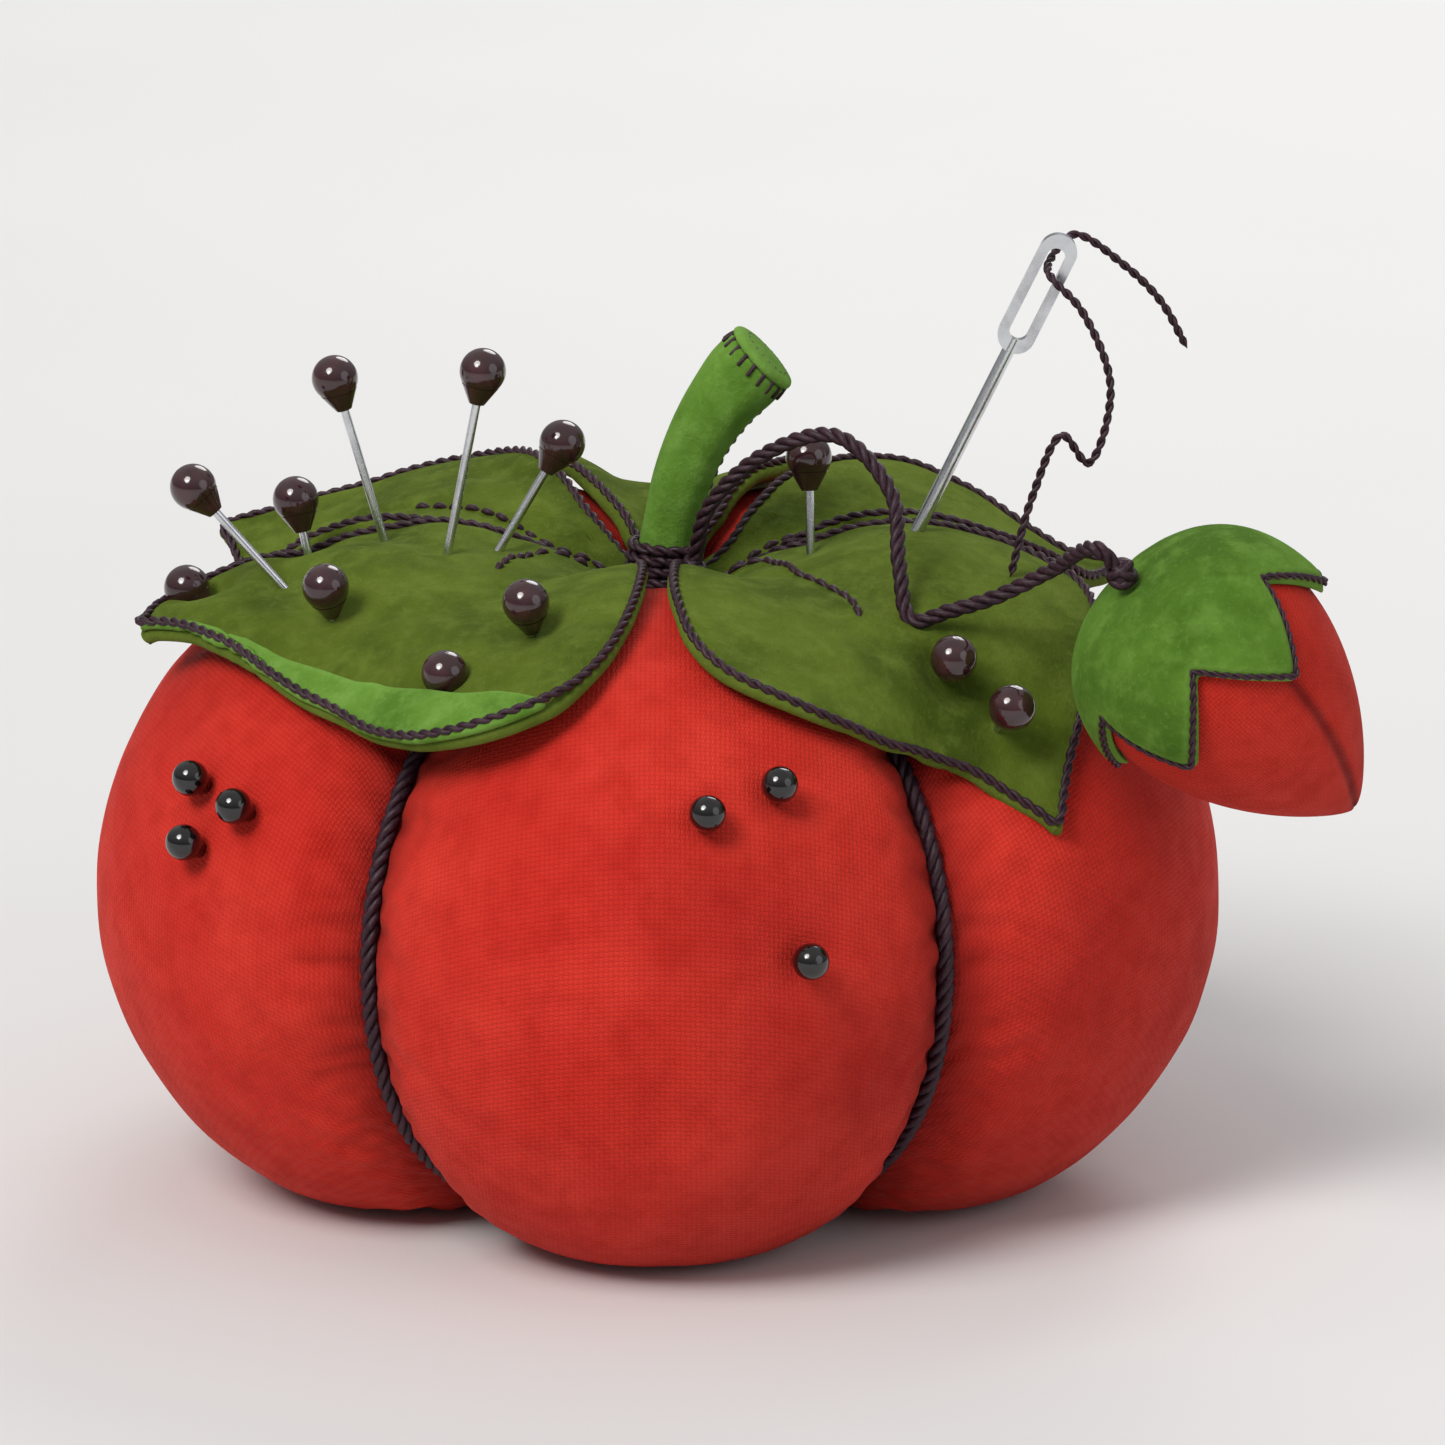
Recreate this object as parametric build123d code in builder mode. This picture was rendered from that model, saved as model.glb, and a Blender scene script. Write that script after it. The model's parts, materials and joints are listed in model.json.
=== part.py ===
"""Tomato pin cushion with felt leaves, ball-head pins, a threaded needle and a hanging emery."""
from build123d import *
import os
from math import asin, cos, degrees, radians, sin, sqrt

os.makedirs("parts", exist_ok=True)

# Cushion: five puffed lobes in a ring, pulled in along five grooves. Millimetres, front is -Y.
LOBE_NAMES = ("front", "right", "back_right", "back_left", "left")
LOBES = len(LOBE_NAMES)
FIRST_LOBE = -90.0
LOBE_PITCH = 360.0 / LOBES
LOBE_RING = 17.0
LOBE_RADIUS = 22.0
LOBE_HALF_HEIGHT = 22.5
LOBE_Z = 21.5
CLOTH = 0.8
STUFFING_INSET = 0.95
SEAM_HALF_GAP = 0.6
CROWN_RADIUS = 2.6
REACH = 70.0

# Floss pulled round the grooves, and the tie through the middle.
FLOSS_RADIUS = 0.5
FLOSS_SINK = 0.35
FLOSS_END_RING = 3.3
TIE_RADIUS = 1.0
TIE_CHANNEL = 1.1
KNOT_RADIUS = 2.4
KNOT_HEIGHT = 1.0
KNOT_TOP_Z = 36.9

# Felt patch under the cushion.
PATCH_RADIUS = 8.5
PATCH_HEIGHT = 1.0

# Felt leaves lying on the crown.
FELT_UNDER = 0.3
FELT_OVER = 1.7
FELT_FLOOR = 27.0
LEAF_ROOT = 3.2
LEAF_ROOT_HALF = 1.4

# Stem.
STEM_BASE_Z = 37.1
STEM_BEND = (1.1, 0.2, 47.3)
STEM_END = (6.7, 0.3, 57.2)
STEM_END_WAY = (0.84, -0.05, 0.54)
STEM_BASE_RADIUS = 2.0
STEM_MID_RADIUS = 2.15
STEM_END_RADIUS = 2.7
STEM_CORE_RADIUS = 1.2
STEM_BORE_RADIUS = 1.3
END_DISC_HEIGHT = 0.9
END_DISC_GAP = 0.05
WRAP_TURNS = 3
WRAP_FIRST_SHARE = 0.245
WRAP_PITCH_SHARE = 0.035
WRAP_RADIUS = 0.4
WRAP_GAP = 0.15

# Ball-head pins.
PIN_RADIUS = 0.3
PIN_LENGTH = 25.0
PIN_POINT = 2.5
PIN_FIT = 0.07
PIN_END_ROOM = 0.8
SEAT_GAP = 0.3
PLUM_HEAD_RADIUS = 1.6
BLACK_HEAD_RADIUS = 1.25
HEAD_NECK = 1.3
HEAD_SOCKET_FIT = 0.02

# Needle and its thread.
NEEDLE_RADIUS = 0.45
NEEDLE_OUT = 24.0
NEEDLE_IN = 20.0
NEEDLE_POINT = 5.0
NEEDLE_HEAD_LENGTH = 9.0
NEEDLE_HEAD_WIDTH = 2.6
NEEDLE_HEAD_THICKNESS = 0.8
EYE_LENGTH = 7.0
EYE_WIDTH = 1.3
THREAD_RADIUS = 0.28

# Cord and strawberry emery.
CORD_RADIUS = 0.5
CORD_KNOT_RADIUS = 0.9
CORD_KNOT_ROOM = 0.05
CORD_ROOT = (2.4, -3.4, 43.7)
CORD_BEND = (17.2, -17.4, 43.5)
EMERY_TOP = (32.6, -24.3, 47.0)
EMERY_AXIS = (0.66, 0.20, -0.72)
EMERY_RADIUS = 8.3
EMERY_LENGTH = 22.5
EMERY_CLOTH = 0.7
EMERY_GAP = 0.05
CAP_THICKNESS = 0.8
CAP_GAP = 0.15
CAP_LENGTH = 9.0
CAP_POINTS = 6
EMERY_KNOT_RADIUS = 1.1
EMERY_KNOT_LIFT = 2.2

# Pins: name, lobe, bearing and height angle on that lobe, on a leaf or not, then the way the
# shaft points out (bearing, rise), how far it stands out, and its head.
PINS = (
    ("cheek_1", "left", 223, 28, False, -129, 28, 0.0, "black"),
    ("cheek_2", "left", 226, 17, False, -129, 28, 0.0, "black"),
    ("cheek_3", "left", 236, 25, False, -129, 28, 0.0, "black"),
    ("front_1", "front", -80, 33, False, -82, 43, 0.0, "black"),
    ("front_2", "front", -63, 37, False, -82, 43, 0.0, "black"),
    ("front_3", "front", -64, 9, False, -70, 15, 0.0, "black"),
    ("leaf_1", "left", 238, 62, True, -120, 70, 0.0, "plum"),
    ("leaf_2", "front", 210, 48, True, -120, 70, 0.0, "plum"),
    ("leaf_3", "front", 210, 66, True, -120, 70, 0.0, "plum"),
    ("leaf_4", "left", 202, 65, True, 178, 49, 7.0, "plum"),
    ("leaf_5", "left", 155, 68, True, 151, 76, 1.5, "plum"),
    ("leaf_6", "left", 178, 52, True, 160, 44, 0.0, "plum"),
    ("leaf_7", "left", 138, 81, True, 190, 74, 9.5, "plum"),
    ("leaf_8", "left", -46, 84, True, -5, 79, 10.5, "plum"),
    ("leaf_9", "left", 13, 77, True, 10, 59, 6.0, "plum"),
    ("right_1", "right", 172, 76, True, 98, 81, 4.0, "plum"),
    ("right_2", "right", -78, 51, True, -69, 39, 0.0, "plum"),
    ("right_3", "right", -67, 41, True, -69, 39, 0.0, "plum"),
)
NEEDLE_SEAT = ("right", 41, 86, True, 1, 64)


def lobe_bearing(name):
    """Bearing of a lobe's centre, in degrees from +X."""
    return FIRST_LOBE + LOBE_PITCH * LOBE_NAMES.index(name)


def surface_point(lobe, bearing, height_angle, grow):
    """Point on one lobe's surface, `grow` outside the cloth."""
    centre_turn = radians(lobe_bearing(lobe))
    turn = radians(bearing)
    rise = radians(height_angle)
    return Vector(
        LOBE_RING * cos(centre_turn) + (LOBE_RADIUS + grow) * cos(rise) * cos(turn),
        LOBE_RING * sin(centre_turn) + (LOBE_RADIUS + grow) * cos(rise) * sin(turn),
        LOBE_Z + (LOBE_HALF_HEIGHT + grow) * sin(rise),
    )


def pointing(bearing, rise):
    """Unit direction with a bearing and a rise above level, in degrees."""
    return Vector(
        cos(radians(rise)) * cos(radians(bearing)),
        cos(radians(rise)) * sin(radians(bearing)),
        sin(radians(rise)),
    )


def seat_plane(lobe, bearing, height_angle, on_leaf, out_bearing, out_rise):
    """Plane at the spot where a shaft enters, its normal along the shaft and pointing out."""
    grow = FELT_OVER if on_leaf else 0.0
    spot = surface_point(lobe, bearing, height_angle, grow)
    out = pointing(out_bearing, out_rise)
    return Plane(origin=spot, x_dir=Vector(0, 1, 0).cross(out), z_dir=out)


def lobe_solid(grow):
    """One puffed lobe about the Z axis, `grow` outside the cloth."""
    with BuildPart() as lobe:
        with BuildSketch(Plane.XZ):
            Ellipse(LOBE_RADIUS + grow, LOBE_HALF_HEIGHT + grow)
            split(bisect_by=Plane.YZ)
        revolve(axis=Axis.Z)
    return lobe.part


def puffed_body(grow, floor):
    """All the lobes joined, `grow` outside the cloth and cut flat at height `floor`."""
    lobe = lobe_solid(grow)
    with BuildPart() as body:
        with PolarLocations(LOBE_RING, LOBES, start_angle=FIRST_LOBE):
            with Locations((0, 0, LOBE_Z)):
                add(lobe)
        with Locations((0, 0, floor)):
            Box(2 * REACH, 2 * REACH, REACH, align=(Align.CENTER, Align.CENTER, Align.MIN),
                mode=Mode.INTERSECT)
    return body.part


# Clearance holes for every pin and the needle, cut from the cloth, stuffing and leaves.
with BuildPart() as shaft_holes:
    for name, lobe, bearing, height_angle, on_leaf, out_bearing, out_rise, stands_out, head in PINS:
        seat = seat_plane(lobe, bearing, height_angle, on_leaf, out_bearing, out_rise)
        with BuildSketch(seat.offset(-PIN_LENGTH - PIN_END_ROOM)):
            Circle(PIN_RADIUS + PIN_FIT)
        extrude(amount=PIN_LENGTH + PIN_END_ROOM + 4.0)
    needle_seat = seat_plane(*NEEDLE_SEAT)
    with BuildSketch(needle_seat.offset(-NEEDLE_IN - PIN_END_ROOM)):
        Circle(NEEDLE_RADIUS + PIN_FIT)
    extrude(amount=NEEDLE_IN + PIN_END_ROOM + 4.0)

# One cloth gore, a shell lying along +X between two groove planes.
half_pitch = radians(LOBE_PITCH / 2)
with BuildPart() as gore_inside:
    with Locations((LOBE_RING, 0, LOBE_Z)):
        add(lobe_solid(-CLOTH))
    with Locations((0, 0, CLOTH)):
        Box(2 * REACH, 2 * REACH, REACH, align=(Align.CENTER, Align.CENTER, Align.MIN),
            mode=Mode.INTERSECT)
with BuildPart() as gore_blank:
    with Locations((LOBE_RING, 0, LOBE_Z)):
        add(lobe_solid(0))
    with BuildSketch(Plane.XY):
        apex = SEAM_HALF_GAP / sin(half_pitch)
        Polygon(
            (apex, 0),
            (apex + REACH * cos(half_pitch), -REACH * sin(half_pitch)),
            (apex + REACH * cos(half_pitch), REACH * sin(half_pitch)),
            align=None,
        )
    extrude(amount=REACH, mode=Mode.INTERSECT)
    add(gore_inside.part, mode=Mode.SUBTRACT)
    Cylinder(CROWN_RADIUS, REACH, align=(Align.CENTER, Align.CENTER, Align.MIN), mode=Mode.SUBTRACT)
    Cylinder(PATCH_RADIUS + 0.3, PATCH_HEIGHT + 0.2, align=(Align.CENTER, Align.CENTER, Align.MIN),
             mode=Mode.SUBTRACT)

for lobe_name in LOBE_NAMES:
    with BuildPart() as gore:
        with Locations(Rotation(0, 0, lobe_bearing(lobe_name))):
            add(gore_blank.part)
        add(shaft_holes.part, mode=Mode.SUBTRACT)
    gore.part.label = "gore_" + lobe_name
    export_step(gore.part, "parts/gore_" + lobe_name + ".step")

# Stuffing, with a channel for the tie and room for the two knots.
knot_room_z = KNOT_TOP_Z - KNOT_HEIGHT - 0.3
with BuildPart() as filling:
    add(puffed_body(-STUFFING_INSET, STUFFING_INSET))
    Cylinder(TIE_CHANNEL, REACH, align=(Align.CENTER, Align.CENTER, Align.MIN), mode=Mode.SUBTRACT)
    with Locations((0, 0, knot_room_z)):
        Cylinder(CROWN_RADIUS, REACH, align=(Align.CENTER, Align.CENTER, Align.MIN),
                 mode=Mode.SUBTRACT)
    with Locations((0, 0, 2 * LOBE_Z - knot_room_z)):
        Cylinder(CROWN_RADIUS, REACH, align=(Align.CENTER, Align.CENTER, Align.MAX),
                 mode=Mode.SUBTRACT)
    add(shaft_holes.part, mode=Mode.SUBTRACT)
filling.part.label = "filling"
export_step(filling.part, "parts/filling.step")

# Floss in the five grooves, and the tie through the middle with a knot at each end.
groove_centre = LOBE_RING * cos(half_pitch)
lobe_chord = LOBE_RING * sin(half_pitch)
groove_reach = sqrt(LOBE_RADIUS**2 - lobe_chord**2) - FLOSS_SINK
groove_rise = LOBE_HALF_HEIGHT * sqrt(1 - (lobe_chord / LOBE_RADIUS) ** 2) - FLOSS_SINK
end_share = (groove_centre - FLOSS_END_RING) / groove_reach
end_angle = 90.0 + degrees(asin(end_share))
with BuildPart() as strand:
    with BuildLine(Plane.XZ):
        run = EllipticalCenterArc((groove_centre, LOBE_Z), groove_reach, groove_rise,
                                  start_angle=-end_angle, arc_size=2 * end_angle)
    with BuildSketch(Plane(origin=run @ 0, z_dir=run % 0)):
        Circle(FLOSS_RADIUS)
    sweep()
with BuildPart() as cinch_floss:
    with Locations(*[Rotation(0, 0, FIRST_LOBE + LOBE_PITCH * (n + 0.5)) for n in range(LOBES)]):
        add(strand.part)
    with Locations((0, 0, KNOT_TOP_Z)):
        Cylinder(KNOT_RADIUS, KNOT_HEIGHT, align=(Align.CENTER, Align.CENTER, Align.MAX))
    with Locations((0, 0, 2 * LOBE_Z - KNOT_TOP_Z)):
        Cylinder(KNOT_RADIUS, KNOT_HEIGHT, align=(Align.CENTER, Align.CENTER, Align.MIN))
    with Locations((0, 0, LOBE_Z)):
        Cylinder(TIE_RADIUS, 2 * (KNOT_TOP_Z - LOBE_Z) - KNOT_HEIGHT)
cinch_floss.part.label = "cinch_floss"
export_step(cinch_floss.part, "parts/cinch_floss.step")

# Round felt patch under the cushion; its underside is the resting face.
with BuildPart() as base_patch:
    Cylinder(PATCH_RADIUS, PATCH_HEIGHT, align=(Align.CENTER, Align.CENTER, Align.MIN))
base_patch.part.label = "base_patch"
export_step(base_patch.part, "parts/base_patch.step")

# Felt lying over the crown, from which each leaf is cut to its outline.
with BuildPart() as felt_layer:
    add(puffed_body(FELT_OVER, FELT_FLOOR))
    add(puffed_body(FELT_UNDER, FELT_FLOOR - 1.0), mode=Mode.SUBTRACT)

# Leaf outlines seen from above: distance along the leaf, then across it. Each leaf has its
# edge on the clockwise side, its edge on the other side, its tip and the way it points.
LEAVES = {
    "leaf_front_left": (
        -150.0,
        ((9, -4.8), (15, -9.0), (21, -12.4), (28, -14.2), (32.4, -13.2)),
        ((5.3, 6.2), (7.9, 11.6), (11.2, 16.8), (15.7, 20.7), (20.2, 22.6), (24.4, 22.2),
         (27.0, 19.6), (28.3, 16.0), (29.4, 11.6), (31.2, 7.0), (32.6, 0.3), (33.8, -5.6)),
        (35.2, -10.2),
    ),
    "leaf_front_right": (
        -36.0,
        ((5.9, -5.6), (9.0, -10.7), (12.9, -16.0), (17.1, -19.7), (20.9, -20.9), (24.4, -19.6),
         (26.6, -15.5), (28.2, -10.8), (30.6, -7.4), (33.4, -5.2)),
        ((9, 4.8), (15, 9.0), (21, 12.4), (27.5, 13.0), (32, 9.0), (34.9, 2.4)),
        (35.8, -2.9),
    ),
    "leaf_back_right": (
        25.5,
        ((8, -3.5), (13, -6.3), (19, -9.2), (25, -8.4), (30, -4.2)),
        ((8, 3.5), (13, 6.3), (19, 9.2), (25, 8.4), (30, 4.2)),
        (33.4, 0),
    ),
    "leaf_back": (
        87.0,
        ((8, -3.5), (13, -6.3), (19, -9.2), (25, -8.4), (30, -4.2)),
        ((8, 3.5), (13, 6.3), (19, 9.2), (25, 8.4), (30, 4.2)),
        (33.4, 0),
    ),
    "leaf_back_left": (
        148.5,
        ((8, -3.5), (13, -6.3), (19, -9.2), (25, -8.4), (30, -4.2)),
        ((8, 3.5), (13, 6.3), (19, 9.2), (25, 8.4), (30, 4.2)),
        (33.4, 0),
    ),
}
for leaf_name, (leaf_bearing, near_edge, far_edge, tip) in LEAVES.items():
    with BuildPart() as leaf:
        with BuildSketch(Plane.XY.rotated((0, 0, leaf_bearing))):
            with BuildLine():
                Spline((LEAF_ROOT, -LEAF_ROOT_HALF), *near_edge, tip)
                Spline((LEAF_ROOT, LEAF_ROOT_HALF), *far_edge, tip)
                Line((LEAF_ROOT, -LEAF_ROOT_HALF), (LEAF_ROOT, LEAF_ROOT_HALF))
            make_face()
        extrude(amount=REACH)
        add(felt_layer.part, mode=Mode.INTERSECT)
        add(shaft_holes.part, mode=Mode.SUBTRACT)
    leaf.part.label = leaf_name
    export_step(leaf.part, "parts/" + leaf_name + ".step")

# Curved stem: a felt tube round a stiff core, closed by a felt disc.
with BuildPart() as stem_core:
    with BuildLine():
        stem_run = Spline((0, 0, STEM_BASE_Z), STEM_BEND, STEM_END,
                          tangents=((0, 0, 1), STEM_END_WAY))
    with BuildSketch(Plane(origin=stem_run @ 0, z_dir=stem_run % 0)):
        Circle(STEM_CORE_RADIUS)
    sweep()
stem_core.part.label = "stem_core"
export_step(stem_core.part, "parts/stem_core.step")

with BuildPart() as stem_bore:
    with BuildSketch(Plane(origin=stem_run @ 0, z_dir=stem_run % 0)):
        Circle(STEM_BORE_RADIUS)
    sweep(path=stem_run)
with BuildPart() as stem_cover:
    for share, radius in ((0, STEM_BASE_RADIUS), (0.5, STEM_MID_RADIUS), (1, STEM_END_RADIUS)):
        with BuildSketch(Plane(origin=stem_run @ share, z_dir=stem_run % share)):
            Circle(radius)
    sweep(path=stem_run, multisection=True)
    add(stem_bore.part, mode=Mode.SUBTRACT)
stem_cover.part.label = "stem_cover"
export_step(stem_cover.part, "parts/stem_cover.step")

with BuildPart() as stem_end_disc:
    with BuildSketch(Plane(origin=stem_run @ 1, z_dir=stem_run % 1).offset(END_DISC_GAP)):
        Circle(STEM_END_RADIUS)
    extrude(amount=END_DISC_HEIGHT)
    chamfer(stem_end_disc.edges().filter_by(GeomType.CIRCLE), 0.3)
stem_end_disc.part.label = "stem_end_disc"
export_step(stem_end_disc.part, "parts/stem_end_disc.step")

# Cord: wound round the stem's foot, then a standing arch from its root to the bend on the leaf.
with BuildPart() as cord_arch:
    for turn in range(WRAP_TURNS):
        wrap_share = WRAP_FIRST_SHARE + WRAP_PITCH_SHARE * turn
        with Locations(Plane(origin=stem_run @ wrap_share, z_dir=stem_run % wrap_share)):
            Torus(STEM_BASE_RADIUS + WRAP_RADIUS + WRAP_GAP, WRAP_RADIUS)
    with BuildLine():
        arch_run = Spline(CORD_ROOT, (3.4, -4.9, 48.2), (7.2, -6.6, 52.4), (12.2, -9.0, 54.3),
                          (15.9, -12.0, 51.0), (16.4, -15.2, 46.8), CORD_BEND)
    with BuildSketch(Plane(origin=arch_run @ 0, z_dir=arch_run % 0)):
        Circle(CORD_RADIUS)
    sweep(path=arch_run)
    with Locations(CORD_ROOT, CORD_BEND):
        Sphere(CORD_KNOT_RADIUS)
cord_arch.part.label = "cord_arch"
export_step(cord_arch.part, "parts/cord_arch.step")

# Free end of the cord, from the bend to the emery's knot.
emery_down = Vector(*EMERY_AXIS).normalized()
emery_knot_spot = Vector(*EMERY_TOP) - emery_down * EMERY_KNOT_LIFT
with BuildPart() as bend_room:
    with Locations(CORD_BEND):
        Sphere(CORD_KNOT_RADIUS + CORD_KNOT_ROOM)
    with Locations(emery_knot_spot):
        Sphere(EMERY_KNOT_RADIUS + CORD_KNOT_ROOM)
with BuildPart() as cord_tail:
    with BuildLine():
        tail_run = Spline(CORD_BEND, (19.7, -18.1, 44.3), (22.8, -18.6, 45.4), (26.4, -20.2, 47.6),
                          emery_knot_spot - emery_down * 2.6, emery_knot_spot)
    with BuildSketch(Plane(origin=tail_run @ 0, z_dir=tail_run % 0)):
        Circle(CORD_RADIUS)
    sweep(path=tail_run)
    add(bend_room.part, mode=Mode.SUBTRACT)
cord_tail.part.label = "cord_tail"
export_step(cord_tail.part, "parts/cord_tail.step")

# Knot at the top of the emery's cap.
with BuildPart() as emery_knot:
    with Locations(emery_knot_spot):
        Sphere(EMERY_KNOT_RADIUS)
emery_knot.part.label = "emery_knot"
export_step(emery_knot.part, "parts/emery_knot.step")


def berry(grow):
    """Strawberry body about +Z from its top at zero to its tip, `grow` outside the cloth."""
    with BuildPart() as body:
        with BuildSketch(Plane.XZ):
            with BuildLine():
                tip = EMERY_LENGTH + 1.3 * grow
                Bezier((0, -grow), (1.5 * EMERY_RADIUS + 1.3 * grow, -1.0 - grow),
                       (1.2 * EMERY_RADIUS + 1.3 * grow, 14.0 + 0.6 * grow), (0, tip))
                Line((0, tip), (0, -grow))
            make_face()
        revolve(axis=Axis.Z)
    return body.part


emery_frame = Plane(origin=EMERY_TOP, x_dir=Vector(0, 1, 0).cross(emery_down), z_dir=emery_down)
with BuildPart() as emery_sand:
    with Locations(emery_frame):
        add(berry(-EMERY_CLOTH - EMERY_GAP))
emery_sand.part.label = "emery_sand"
export_step(emery_sand.part, "parts/emery_sand.step")

with BuildPart() as emery_cover:
    with Locations(emery_frame):
        add(berry(0))
        add(berry(-EMERY_CLOTH), mode=Mode.SUBTRACT)
emery_cover.part.label = "emery_cover"
export_step(emery_cover.part, "parts/emery_cover.step")

# Felt cap over the emery's top, its edge cut into points.
with BuildPart() as cap_notch:
    with BuildSketch(Plane.YZ):
        notch_half = EMERY_RADIUS * sin(radians(180.0 / CAP_POINTS)) * 0.98
        Polygon((0, CAP_LENGTH * 0.42), (notch_half, CAP_LENGTH + 1.0),
                (-notch_half, CAP_LENGTH + 1.0), align=None)
    extrude(amount=REACH)
with BuildPart() as cap_blank:
    add(berry(CAP_GAP + CAP_THICKNESS))
    add(berry(CAP_GAP), mode=Mode.SUBTRACT)
    with Locations((0, 0, CAP_LENGTH)):
        Cylinder(REACH, REACH, align=(Align.CENTER, Align.CENTER, Align.MIN), mode=Mode.SUBTRACT)
    with Locations(*[Rotation(0, 0, 360.0 / CAP_POINTS * n) for n in range(CAP_POINTS)]):
        add(cap_notch.part, mode=Mode.SUBTRACT)
with BuildPart() as emery_cap:
    with Locations(emery_frame):
        add(cap_blank.part)
emery_cap.part.label = "emery_cap"
export_step(emery_cap.part, "parts/emery_cap.step")

# Needle: a pointed shaft with a flattened head and a long eye facing the front.
with BuildPart() as needle:
    with BuildSketch(Plane.XZ):
        Polygon(
            (0, -NEEDLE_IN),
            (NEEDLE_RADIUS, NEEDLE_POINT - NEEDLE_IN),
            (NEEDLE_RADIUS, NEEDLE_OUT - 2.0),
            (0, NEEDLE_OUT - 2.0),
            align=None,
        )
    revolve(axis=Axis.Z)
    with BuildSketch(Plane.XZ.offset(-NEEDLE_HEAD_THICKNESS / 2)):
        with Locations((0, NEEDLE_OUT - NEEDLE_HEAD_LENGTH / 2)):
            SlotOverall(NEEDLE_HEAD_LENGTH, NEEDLE_HEAD_WIDTH, rotation=90)
    extrude(amount=NEEDLE_HEAD_THICKNESS)
    with BuildSketch(Plane.XZ.offset(-REACH / 2)):
        with Locations((0, NEEDLE_OUT - NEEDLE_HEAD_LENGTH / 2)):
            SlotOverall(EYE_LENGTH, EYE_WIDTH, rotation=90)
    extrude(amount=REACH, mode=Mode.SUBTRACT)
with BuildPart() as needle_placed:
    with Locations(needle_seat):
        add(needle.part)
needle_placed.part.label = "needle"
export_step(needle_placed.part, "parts/needle.step")

# Thread through the eye: one end runs down to the leaf, the other hangs free.
eye_top = needle_seat.origin + needle_seat.z_dir * (NEEDLE_OUT - 2.6)
with BuildPart() as needle_thread:
    with BuildLine():
        thread_run = Spline(
            (24.1, -9.7, 44.9), (25.6, -8.7, 50.0), (27.6, -8.3, 54.2), (29.4, -8.2, 52.2),
            (30.9, -8.0, 57.4), (29.0, -6.6, 62.4), eye_top - Vector(0, 1.2, 0.2),
            eye_top + Vector(0.1, 1.2, 0.4), (28.6, -0.9, 66.6), (32.0, -0.6, 64.4),
            (34.6, -0.6, 61.8), (36.4, -0.8, 58.6),
        )
    with BuildSketch(Plane(origin=thread_run @ 0, z_dir=thread_run % 0)):
        Circle(THREAD_RADIUS)
    sweep(path=thread_run)
needle_thread.part.label = "needle_thread"
export_step(needle_thread.part, "parts/needle_thread.step")


def pin_shaft(stands_out):
    """Pin wire about Z, entering the cushion at zero and pointed at its lower end."""
    low = stands_out + SEAT_GAP - PIN_LENGTH
    top = stands_out + SEAT_GAP + HEAD_NECK + PLUM_HEAD_RADIUS * 0.6
    with BuildPart() as wire:
        with BuildSketch(Plane.XZ):
            Polygon((0, low), (PIN_RADIUS, low + PIN_POINT), (PIN_RADIUS, top), (0, top),
                    align=None)
        revolve(axis=Axis.Z)
    return wire.part


def pin_head(stands_out, radius):
    """Ball head with a tapered neck and a blind socket for the wire."""
    low = stands_out + SEAT_GAP
    socket_top = low + HEAD_NECK + PLUM_HEAD_RADIUS * 0.6 + HEAD_SOCKET_FIT
    with BuildPart() as ball:
        with BuildSketch(Plane.XZ):
            with Locations((0, low + HEAD_NECK * 0.55 + radius)):
                Circle(radius)
            Polygon((0, low), (PIN_RADIUS + 0.25, low), (radius * 0.8, low + HEAD_NECK),
                    (0, low + HEAD_NECK), align=None)
            split(bisect_by=Plane.YZ)
        revolve(axis=Axis.Z)
        with Locations((0, 0, low - 1.0)):
            Cylinder(PIN_RADIUS + HEAD_SOCKET_FIT, socket_top - low + 1.0,
                     align=(Align.CENTER, Align.CENTER, Align.MIN), mode=Mode.SUBTRACT)
    return ball.part


for name, lobe, bearing, height_angle, on_leaf, out_bearing, out_rise, stands_out, head in PINS:
    seat = seat_plane(lobe, bearing, height_angle, on_leaf, out_bearing, out_rise)
    head_radius = PLUM_HEAD_RADIUS if head == "plum" else BLACK_HEAD_RADIUS
    with BuildPart() as shaft:
        with Locations(seat):
            add(pin_shaft(stands_out))
    shaft.part.label = "pin_shaft_" + name
    export_step(shaft.part, "parts/pin_shaft_" + name + ".step")
    with BuildPart() as pin_ball:
        with Locations(seat):
            add(pin_head(stands_out, head_radius))
    pin_ball.part.label = "pin_head_" + name
    export_step(pin_ball.part, "parts/pin_head_" + name + ".step")
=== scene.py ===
"""Looks for the tomato pin cushion: cotton body, floss, felt leaves, stem, cord, emery, needle and pins."""
import json
import math

import bmesh
import bpy
import numpy as np
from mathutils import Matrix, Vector
from mathutils.bvhtree import BVHTree

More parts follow.
